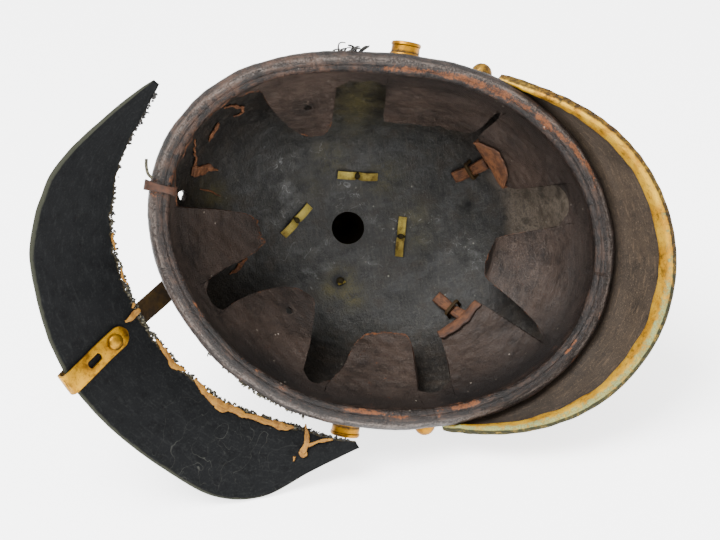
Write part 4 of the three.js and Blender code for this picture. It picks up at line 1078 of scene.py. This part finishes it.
def lay_strip(name, path, facing, widths, thick, finish, seed):
    """A ragged strip of hide along a path, its face turned to where facing points."""
    count = 22 * (len(path) - 1)
    line, up = through(path, count), through(facing, count)
    line = line + up * (0.25 * unevenness(line, 5, seed))[:, None]
    wide = 0.72 * through(np.array(widths, float)[:, None], count)[:, 0]
    wide = wide * (1 + 0.14 * unevenness(line, 9, seed) + 0.06 * unevenness(line, 2.2, seed))
    across = np.cross(up, unit(np.gradient(line, axis=0)))
    sway = 0.1 * wide * unevenness(line, 7, seed + 1)
    points, faces = sweep(line + across * sway[:, None], across, np.clip(wide, 0.5, None),
                          thick, 0.4)
    length = np.linalg.norm(np.diff(line, axis=0), axis=1).sum()
    run = run_along(np.linspace(0, length, count)[:, None] + 0 * points[..., 0],
                    ((points - line[:, None]) * across[:, None]).sum(-1)) / 1000
    make(name, points, faces, finish, {"edge": 0, "run": run})


for number, (spots, widths, lift) in enumerate(FLAKES):
    along, across = np.array(spots).T
    path = torn_point(along, across, -VISOR_WALL / 2 - 0.5 - lift)
    lay_strip(f"split_hide_{number}", path, unit(path - torn_point(along, across, 0.0)),
              widths, 1.0, yellow_hide, number)
for number, (spots, widths) in enumerate(SCRAPS):
    wall = [on_wall(*spot, SHELL_WALL + 1.2) for spot in spots]
    lay_strip(f"lining_scrap_{number}", [centre for centre, axes in wall],
              [-axes[2] for centre, axes in wall], widths, 0.9, orange_hide, 20 + number)

# ---- Rear spine --------------------------------------------------------------------------
# A brass strip from the base plate down the back of the shell and over the torn peak. It is
# folded round the peak's edge and back under it, where a slot is cut and a domed stud
# clamps it. The shell side is dark with age and the folded end is bright.
SPINE_WIDTH, SPINE_WALL, SPINE_GAP, BASE_R = 11.0, 1.2, 0.75, 40.0
SPINE_BEARINGS, SPINE_LOW_RISE, SPINE_BEND = (177, 158), math.radians(18), 1.2
SPINE_FOLD, SPINE_BACK = 1.05, 0.24
SPINE_STUD_AT, SPINE_SLOT_AT = 0.42, 0.7


def under_frame(across, lift=0.0):
    """On the torn peak where the spine lies: across it, along it, and off its underside."""
    centre = torn_point(crossing(across), across, 0.0)
    x = unit(torn_point(crossing(across + 0.1), across + 0.1, 0.0) - centre)
    under = unit(torn_point(crossing(across), across, -1.0) - centre)
    y = unit(np.cross(under, x))
    z = np.cross(x, y)
    return centre + z * lift, np.stack([x, y, z])


def make_spine():
    path, side = [], []
    start = rise_at_radius(BASE_R + 0.6)
    for step in np.linspace(0, 1, 13):
        rise = mixed(start, SPINE_LOW_RISE, step)
        bearing = math.radians(mixed(*SPINE_BEARINGS, step ** SPINE_BEND))
        centre, axes = dome_frame(bearing, rise, -SPINE_WALL / 2 - 0.9)
        path.append(centre)
        side.append(axes[1])
    over = VISOR_WALL / 2 + SPINE_WALL / 2 + SPINE_GAP
    bend = over * 0.9 / 50
    for across, lift in [
            (0.1, over), (0.4, over), (0.7, over), (1, over), (1 + bend * 0.8, over * 0.6),
            (1 + bend, 0), (1 + bend * 0.8, -over * 0.6), (1, -over), (0.8, -over),
            (0.6, -over), (0.4, -over), (SPINE_BACK, -over)]:
        share = SPINE_FOLD if across > 1 else across
        path.append(torn_point(crossing(share), across, lift))
        side.append(-under_frame(min(across, 0.9))[1][1])
    path, side = np.array(path), np.array(side)
    for i in range(1, len(side)):
        if (side[i] * side[i - 1]).sum() < 0:
            side[i] = -side[i]
    line, across = through(path, 190), through(side, 190)
    to_end = np.linalg.norm(np.diff(line, axis=0, append=line[-1:]), axis=1)[::-1].cumsum()
    near_end = np.clip(to_end[::-1] / (SPINE_WIDTH / 2), 0.02, 1)
    width = SPINE_WIDTH * np.sqrt(np.clip(1 - (1 - near_end) ** 2, 0.03, 1))
    points, faces = sweep(line, across, width, SPINE_WALL, 0.35)
    share = np.linspace(0, 1, len(line))[:, None] + 0 * points[..., 0]
    piece = make("rear_spine_strip", points, faces, spine_brass,
                 {"dirt_and_shade": 1.1 * (1 - smooth(0.62, 0.74, share)), "green": 0}, 40,
                 ["rear_spine"])
    turn = np.radians([-90, -45, 0, 45, 90])
    slot = [(3.2 + 1.0 * math.cos(t), 2.0 * math.sin(t)) for t in turn]
    slot += [(-x, -y) for x, y in slot]
    pierce(piece, slot, under_frame(SPINE_SLOT_AT, VISOR_WALL / 2 + 1.4), 1.6)


def turned(name, profile, place, finish, sides=48, marks=None, stands_for=()):
    """A turned piece about the third axis of its frame, from radius and height pairs.

    A mark is a number or is worked out from the piece's own points."""
    centre, axes = place
    profile = np.array(profile, float)
    angle = np.arange(sides) * 2 * np.pi / sides
    inner = profile[1:-1]
    ring = np.stack([inner[:, None, 0] * np.cos(angle), inner[:, None, 0] * np.sin(angle),
                     inner[:, None, 1] + 0 * angle], -1).reshape(-1, 3)
    flat = np.vstack([ring, (0, 0, profile[0, 1]), (0, 0, profile[-1, 1])])
    last = (len(inner) - 1) * sides
    top = len(ring) + 1
    faces = quads(len(inner), sides)
    faces += [[(i + 1) % sides, i, top - 1] for i in range(sides)]
    faces += [[last + i, last + (i + 1) % sides, top] for i in range(sides)]
    shown = {mark: value(flat) if callable(value) else value
             for mark, value in ({"green": 0, "dirt_and_shade": 0} | (marks or {})).items()}
    make(name, flat @ axes + centre, faces, finish, shown, 38, stands_for)


spine_brass = brass("spine_brass", (164, 120, 22), (118, 78, 10), 0.62)
stud_brass = brass("stud_brass", (158, 116, 28), (104, 70, 14), 0.7)
make_spine()
STUD_SEAT = VISOR_WALL / 2 + SPINE_WALL + SPINE_GAP + 0.3
turned("rear_spine_rivet", [
    (0, -STUD_SEAT), (1.3, -STUD_SEAT), (1.3, STUD_SEAT), (3.6, STUD_SEAT),
    (4.0, STUD_SEAT + 0.3), (4.0, STUD_SEAT + 0.8), (3.5, STUD_SEAT + 1.6),
    (2.5, STUD_SEAT + 2.2), (1.2, STUD_SEAT + 2.55), (0, STUD_SEAT + 2.6),
], under_frame(SPINE_STUD_AT), stud_brass, stands_for=["rear_spine_stud"])

# ---- Chin-strap posts and trim rivets ----------------------------------------------------
# Two turned brass posts at the sides, screwed through the shell over a small leather washer,
# and a dome-headed rivet at each end of the front trim.
POST_Z, TRIM_RIVET_X, TRIM_RIVET_Z = 17.0, 39.0, 14.0
bright_brass = brass("post_brass", (150, 104, 14), (116, 74, 8), 0.4)


def side_frame(bearing, z):
    centre = dome_point(bearing, rise_at_height(z))
    out = np.array([0, np.sign(np.sin(bearing)), 0])
    along = np.array([1.0, 0, 0])
    return centre, np.stack([along, np.cross(out, along), out])


for side, word in ((1, "left"), (-1, "right")):
    turned(f"chin_post_{word}", [
        (0, -4.6), (2.5, -4.6), (2.5, 1.2), (7.4, 1.2), (7.7, 1.6), (7.7, 3.2), (7.4, 3.8),
        (6.9, 4.2), (6.9, 7.3), (7.3, 7.8), (7.3, 8.7), (6.9, 9.3), (6.1, 9.5), (0, 9.5),
    ], side_frame(side * math.pi / 2, POST_Z), bright_brass,
        marks={"dirt_and_shade": lambda p: 0.75 * np.exp(-((p[:, 2] - 4.2) / 0.9) ** 2)},
        stands_for=[f"side_post_{word}"])
    angle = side * math.acos(TRIM_RIVET_X / rim_radius(math.radians(67 * side)))
    turned(f"trim_stud_{word}", [
        (0, -4.6), (1.6, -4.6), (1.6, 1.4), (5.1, 1.4), (5.4, 1.8), (5.35, 2.6), (5.0, 4.2),
        (4.2, 5.8), (3.0, 7.0), (1.5, 7.75), (0, 7.9),
    ], side_frame(angle, TRIM_RIVET_Z), stud_brass if side < 0 else bright_brass,
        marks={"dirt_and_shade": 0.6 if side < 0 else 0.1},
        stands_for=[f"trim_rivet_{word}"])

# ---- Spike and base plate ----------------------------------------------------------------
# A round brass base plate, a beaded neck and a tall plain spike, soldered into one hollow
# piece and polished long ago. Four split studs hold the base through the crown.
NECK_Z = 138.0
SPIKE_BORE = [(0, 60), (3, 52), (7.5, 28), (10, 8), (10.6, -3)]
SPIKE_OUTSIDE = [
    (15, -9), (13.2, -6), (12.4, -3), (12.9, -1), (14.6, 0.3), (16, 1.4), (16.5, 3.0),
    (16, 4.6), (14.4, 5.6), (12.6, 6.6), (11.6, 9), (10.4, 18), (9, 30), (7.3, 45),
    (5.5, 60), (3.8, 72), (2.5, 80), (2.0, 83), (1.1, 84.6), (0, 85),
]
spike_brass = brass("spike_brass", (160, 116, 38), (112, 76, 22), 0.45, 0.2)
seat_r = np.linspace(10.6, BASE_R, 12)
seat = [(r, dome_point(0.0, rise_at_radius(r))[2] + 0.3) for r in seat_r]
top_edge = [(r, z + 1.2) for r, z in seat[::-1]]
bead = [(BASE_R - 0.2, seat[-1][1] - 0.1), (BASE_R + 0.35, seat[-1][1] + 0.6)]
# Inside the spike's bore the brass is painted near black: painted shade where no light reaches.
turned("spike_and_base", (
    [(r, NECK_Z + z) for r, z in SPIKE_BORE] + seat + bead + top_edge[1:-2]
    + [(r, NECK_Z + z) for r, z in SPIKE_OUTSIDE]
), (np.array([CROWN_X, 0, 0]), np.eye(3)), spike_brass, 96,
    {"dirt_and_shade": lambda p: 1.6 * (np.hypot(p[:, 0], p[:, 1]) < 0.1 + np.interp(
        p[:, 2] - NECK_Z, [z for r, z in SPIKE_BORE[::-1]],
        [r for r, z in SPIKE_BORE[::-1]], right=-1)),
     "green": lambda p: 0.3 * (p[:, 2] < NECK_Z - 6)}, ["spike"])

# ---- Base studs --------------------------------------------------------------------------
# Domed brass studs through the base plate and the crown. Each has two flat prongs, spread
# inside the shell like a split pin; the left one's have broken off short.
BASE_STUDS = [  # bearing, which way its prongs lie, how long each is
    ("front", 0, 87, (1, 1)), ("left", 90, 60, (0.34, 0.2)), ("rear", 180, 124, (1, 1)),
    ("right", 270, -6, (1, 1)),
]
STUD_RADIUS, PRONG_WIDTH, PRONG_WALL = 31.0, 4.6, 1.1
PRONG_BOWS = [  # how far out each of the two prongs reaches, and how far below the crown
    [(0.7, 1.0), (0.75, 3.4), (1.6, 4.9), (3.6, 5.7), (6.4, 5.6), (9.4, 4.8), (11.3, 4.2)],
    [(0.7, 1.0), (0.75, 3.2), (1.4, 4.6), (3.2, 5.3), (6.0, 5.5), (9.0, 5.2), (10.9, 4.8)],
]
prong_brass = brass("prong_brass", (158, 142, 70), (112, 94, 40), 0.25, 0.7)


def stud_place(bearing):
    return dome_frame(math.radians(bearing), rise_at_radius(STUD_RADIUS))


def make_prongs(word, bearing, turn, lengths):
    centre, axes = stud_place(bearing)
    turn = math.radians(turn - bearing)
    over = axes[1] * math.cos(turn) - axes[0] * math.sin(turn)
    for number, way in enumerate((1, -1)):
        ahead = (axes[0] * math.cos(turn) + axes[1] * math.sin(turn)) * way
        share = np.linspace(0, lengths[number], 40)
        line = through([centre + ahead * a - axes[2] * h for a, h in PRONG_BOWS[number]], share)
        points, faces = sweep(line, over + 0 * line, PRONG_WIDTH, PRONG_WALL, 0.3)
        near = 1 - share[:, None] + 0 * points[..., 0]
        make(f"base_stud_prong_{word}_{number}", points, faces, prong_brass,
             {"dirt_and_shade": 1.1 * smooth(0.66, 0.82, near), "green": 0.5 * smooth(0.6, 0.75, near)})
    turned(f"base_stud_knot_{word}", [
        (0, -6.2), (0.6, -6.1), (1.5, -5.5), (2.0, -4.6), (2.4, -3.4), (0, -3.3),
    ], (centre, axes), prong_brass, 12, {"dirt_and_shade": 1.3, "green": 0.2})


for word, bearing, prongs, lengths in BASE_STUDS:
    turned(f"base_stud_head_{word}", [
        (0, -4.5), (1.8, -4.5), (1.8, 1.9), (4.3, 1.9), (4.6, 2.2), (4.55, 2.7), (4.1, 3.6),
        (3.1, 4.5), (1.6, 5.0), (0, 5.1),
    ], stud_place(bearing), spike_brass,
        marks={"dirt_and_shade": lambda p: 0.8 * (p[:, 2] < 0), "green": lambda p: 0.5 * (p[:, 2] < 0)},
        stands_for=[f"base_stud_{word}"])
    make_prongs(word, bearing, prongs, lengths)

# ---- Front plate, its loops and their wedges ---------------------------------------------
# A stamped brass sunburst on the front of the shell, left plain. Two brass loops behind it
# go through slits in the shell, and a strip of tan leather wedged in each holds it on.
PLATE_Z, PLATE_HALF_WIDTH, PLATE_ABOVE, PLATE_BELOW = 72.0, 64.0, 60.0, 45.0
PLATE_RAYS, PLATE_CLEAR, PLATE_WALL, DOME_ARC_R = 14, 0.9, 0.9, 110.0
LOOPS = [("left", 30, 99), ("right", -37, 95)]
plate_brass = brass("plate_brass", (166, 122, 40), (118, 80, 24), 0.45, 0.1)


def plate_point(a, h, lift):
    rise = rise_at_height(PLATE_Z) + h / DOME_ARC_R
    bearing = a / dome_point(0.0, rise)[..., 0]
    centre, axes = dome_frame(bearing, rise)
    return centre + unit(np.cross(axes[0], axes[1])) * lift[..., None]


def make_plate():
    rings, spokes = 34, PLATE_RAYS * 16
    angle = np.arange(spokes)[None, :] * 2 * np.pi / spokes
    ring = (np.arange(1, rings + 1) / rings)[:, None]
    ray = np.abs(((angle * PLATE_RAYS / (2 * np.pi)) % 1) - 0.5) * 2
    reach = 1 - 0.1 * (1 - ray) * smooth(0.6, 1, ring)
    fine = np.abs(np.sin(angle * PLATE_RAYS * 2.5))
    a = PLATE_HALF_WIDTH * ring * reach * np.cos(angle)
    h = np.where(np.sin(angle) > 0, PLATE_ABOVE, PLATE_BELOW) * ring * reach * np.sin(angle)
    boss = 5 * (1 - smooth(0.16, 0.34, ring)) + 1.2 * np.exp(-((ring - 0.4) / 0.02) ** 2)
    rays = (1.1 * ray + 0.5 * fine) * smooth(0.4, 0.5, ring) * (1 - smooth(0.9, 1.0, ring))
    lift = PLATE_CLEAR + boss + rays + 0 * angle
    sides = []
    for wall in (0.0, PLATE_WALL):
        middle = plate_point(np.zeros(1), np.zeros(1), np.array([PLATE_CLEAR + 5.0 + wall]))
        sides.append(np.vstack([middle, plate_point(a, h, lift + wall).reshape(-1, 3)]))
    half = len(sides[0])
    faces = []
    for base in (0, half):
        faces += [[base, base + 1 + i, base + 1 + (i + 1) % spokes] for i in range(spokes)]
        faces += [[base + 1 + n for n in face] for face in quads(rings, spokes)]
    rim = 1 + (rings - 1) * spokes
    faces += [[rim + i, rim + (i + 1) % spokes, half + rim + (i + 1) % spokes,
               half + rim + i] for i in range(spokes)]
    hollows = np.tile(np.concatenate([[0], (0.55 * (1 - ray) + 0 * ring).ravel()]), 2)
    make("front_plate_sunburst", np.vstack(sides), faces, plate_brass,
         {"green": 0, "dirt_and_shade": hollows}, 50, ["front_plate"])


def make_loop(word, bearing, z):
    centre, (down, side, out) = on_wall(bearing, z)
    inside = -SHELL_WALL
    for part, across, count, thick in (
            (0, [(4.4, 1.0), (4.4, inside), (4.4, inside - 3), (4.4, inside - 5.4)], 16, 1.6),
            (1, [(-4.4, 1.0), (-4.4, inside), (-4.4, inside - 3), (-4.4, inside - 5.4)],
             16, 1.6),
            ("eye", [(-4.8, inside - 5.0), (-3.5, inside - 5.9), (0, inside - 6.1),
                     (3.5, inside - 5.9), (4.8, inside - 5.0)], 20, 1.4)):
        line = through([centre + side * s + out * h for s, h in across], count)
        points, faces = sweep(line, down + 0 * line, 2.0, thick, 0.4)
        make(f"plate_loop_{word}_{part}", points, faces, plate_brass,
             {"green": 0.2, "dirt_and_shade": 1.6})


def make_wedge(word, bearing, z):
    centre, (down, side, out) = on_wall(bearing, z, SHELL_WALL + 3.3)

    def surface(u, v):
        a = mixed(-13, 11, u)
        b = (v - 0.5) * (6.4 + 0.5 * np.sin(u * 9)) + 0.5 * np.sin(u * 4)
        bend = 0.5 * np.sin(u * 5) + 0.25 * np.cos(v * 3)
        return centre + (a[..., None] * down + b[..., None] * side + bend[..., None] * out)

    points, faces, _, (inside, u, v) = sheet(surface, (30, 10), (24, 6.4), 2.3, 0.7)
    make(f"plate_wedge_strip_{word}", points, faces, orange_hide,
         {"edge": np.exp(-inside / 0.9), "run": run_along(u * 24, v * 6) / 1000},
         stands_for=[f"plate_wedge_{word}"])


make_plate()
for word, bearing, z in LOOPS:
    make_loop(word, bearing, z)
    make_wedge(word, bearing, z)

# ---- Loose threads and stitches ----------------------------------------------------------
# Waxed linen thread, broken where the peak and the chin strap's fittings tore away: a fringe
# and a crust along the torn edge, crumbs on the roll's outer edge, and curls at the right.
THREAD_STEPS, SIDE_THREADS = 7, 14


def thread_finish(name, dark, pale):
    fibre = Finish(name)
    grain = fibre.noise(fibre.place(), 0.8, 4)
    return fibre.cover(base_color=fibre.blend(fibre.between(grain, 0.45, 0.65), dark, pale),
                       roughness=0.85, normal=fibre.bump(grain, 0.1))


black_thread = thread_finish("black_thread", (22, 22, 22), (56, 52, 46))
green_thread = thread_finish("mossy_thread", (34, 32, 24), (92, 86, 64))


def make_threads(name, starts, ways, lengths, thickness, seed, finish):
    """Many short curled threads in one piece, each starting at its point its own way."""
    rng = np.random.default_rng(seed)
    points, faces, count = [], [], 0
    for start, way, length in zip(starts, unit(ways), lengths):
        bend = unit(np.cross(way, rng.normal(size=3)))
        curl = rng.uniform(0.1, 0.6) * length
        steps = np.linspace(0, 1, THREAD_STEPS)[:, None]
        line = start + way * steps * length + bend * curl * np.sin(steps * rng.uniform(2, 4))
        size = thickness * rng.uniform(0.6, 1.3) * np.linspace(1, 0.55, THREAD_STEPS)
        more, sides = sweep(line, np.cross(way, bend) + 0 * line, size, size, thickness)
        points.append(more.reshape(-1, 3))
        faces += [[n + count for n in face] for face in sides]
        count += len(points[-1])
    make(name, np.vstack(points), faces, finish)


def torn_fringe():
    rng = np.random.default_rng(51)
    stitches = np.concatenate([rng.uniform(0.02, 0.98, 230), rng.normal(0.86, 0.05, 60),
                               rng.normal(0.06, 0.03, 40)])
    crust = np.concatenate([rng.uniform(0.2, 0.84, 420), rng.normal(0.42, 0.03, 60)])
    for name, along, longest, thickness, finish in (
            ("torn_edge_stitches", stitches, 1.7, 1.1, black_thread),
            ("torn_edge_crust", crust, 0.8, 1.5, green_thread)):
        along = np.clip(along, 0.02, 0.985)
        count = len(along)
        across = rng.uniform(-0.006, 0.035, count)
        starts = torn_point(along, across, rng.uniform(-2.0, 0.4, count))
        ways = unit(starts - torn_point(along, across + 0.2, -0.7)) * 0.35
        ways = ways + rng.normal(size=(count, 3)) * 0.7
        make_threads(name, starts, ways, rng.uniform(0.4, longest, count), thickness, 52,
                     finish)


def roll_crumbs():
    rng = np.random.default_rng(61)
    bearing = np.radians(np.concatenate([rng.uniform(104, 126, 70),
                                         rng.uniform(126, 141, 16)]))
    count = len(bearing)
    starts = rim_point(bearing, rng.uniform(-0.5, 0.4, count), rng.uniform(4, 7.5, count))
    ways = rim_point(bearing, 1.0, 5.0) - rim_point(bearing, 0.0, 5.0) \
        + rng.normal(size=(count, 3)) * 0.8
    make_threads("roll_stitch_crumbs", starts, ways, rng.uniform(0.4, 1.5, count), 1.1, 62,
                 green_thread)


def side_threads():
    rng, count = np.random.default_rng(71), SIDE_THREADS
    bearing = np.radians(rng.uniform(246.5, 257.5, count))
    starts = rim_point(bearing, rng.uniform(-0.8, 0.2, count), rng.uniform(4.5, 7, count))
    tangent = rim_point(bearing + 0.01, 0.0, 5.0) - rim_point(bearing, 0.0, 5.0)
    ways = unit(tangent) * rng.choice([-1, 1], count)[:, None] \
        + 0.4 * unit(starts * [1, 1, 0]) + rng.normal(size=(count, 3)) * 0.25
    make_threads("right_side_threads", starts, ways, rng.uniform(3, 6, count), 1.3, 72,
                 black_thread)


torn_fringe()
roll_crumbs()
side_threads()

# ---- Rear wire and leather loop ----------------------------------------------------------
# At the back a strip of tan leather is pulled over the roll, with a stub of dark wire in it.
REAR_BEARING, LOOP_STEPS = math.radians(184.6), 60
LOOP_EDGES = [1, 1, 0.4, 0.4, 1, 1, 1, 1, 0.4, 0.4, 1, 1]
loop_line = through([rim_point(REAR_BEARING, off, z) for off, z in
                     ((1.6, 8.0), (2.0, 4.5), (1.2, 1.2), (-2.5, -0.9), (-7.0, -0.9),
                      (-11.0, 1.8), (-12.5, 6.0))], LOOP_STEPS)
loop_side = rim_point(REAR_BEARING + 0.01, 0.0, 0.0) - rim_point(REAR_BEARING, 0.0, 0.0)
loop_width = 4.4 + 0.8 * np.sin(np.linspace(0, 7, LOOP_STEPS))
loop_points, loop_faces = sweep(loop_line, loop_side + 0 * loop_line, loop_width, 1.2, 0.5)
loop_run = run_along(np.repeat(np.arange(LOOP_STEPS) * 0.5, len(LOOP_EDGES)),
                     np.tile(np.arange(len(LOOP_EDGES)) * 0.4, LOOP_STEPS)) / 1000
loop_hide = split_hide("loop_hide", (78, 44, 24), (44, 26, 15), (22, 14, 9))
make("rear_leather_loop", loop_points, loop_faces, loop_hide,
     {"edge": np.tile(LOOP_EDGES, LOOP_STEPS) * 1.3, "run": loop_run})
wire_line = through([rim_point(math.radians(b), off, z) for b, off, z in
                     ((186.5, -1.0, -1.6), (187.3, 1.4, -1.6), (188.8, 3.0, -1.2),
                      (190.4, 4.0, -0.6))], 40)
wire_points, wire_faces = sweep(wire_line, np.array([0, 0, 1.0]) + 0 * wire_line, 1.5, 1.5,
                                0.5)
make("rear_wire_stub", wire_points, wire_faces, green_thread)
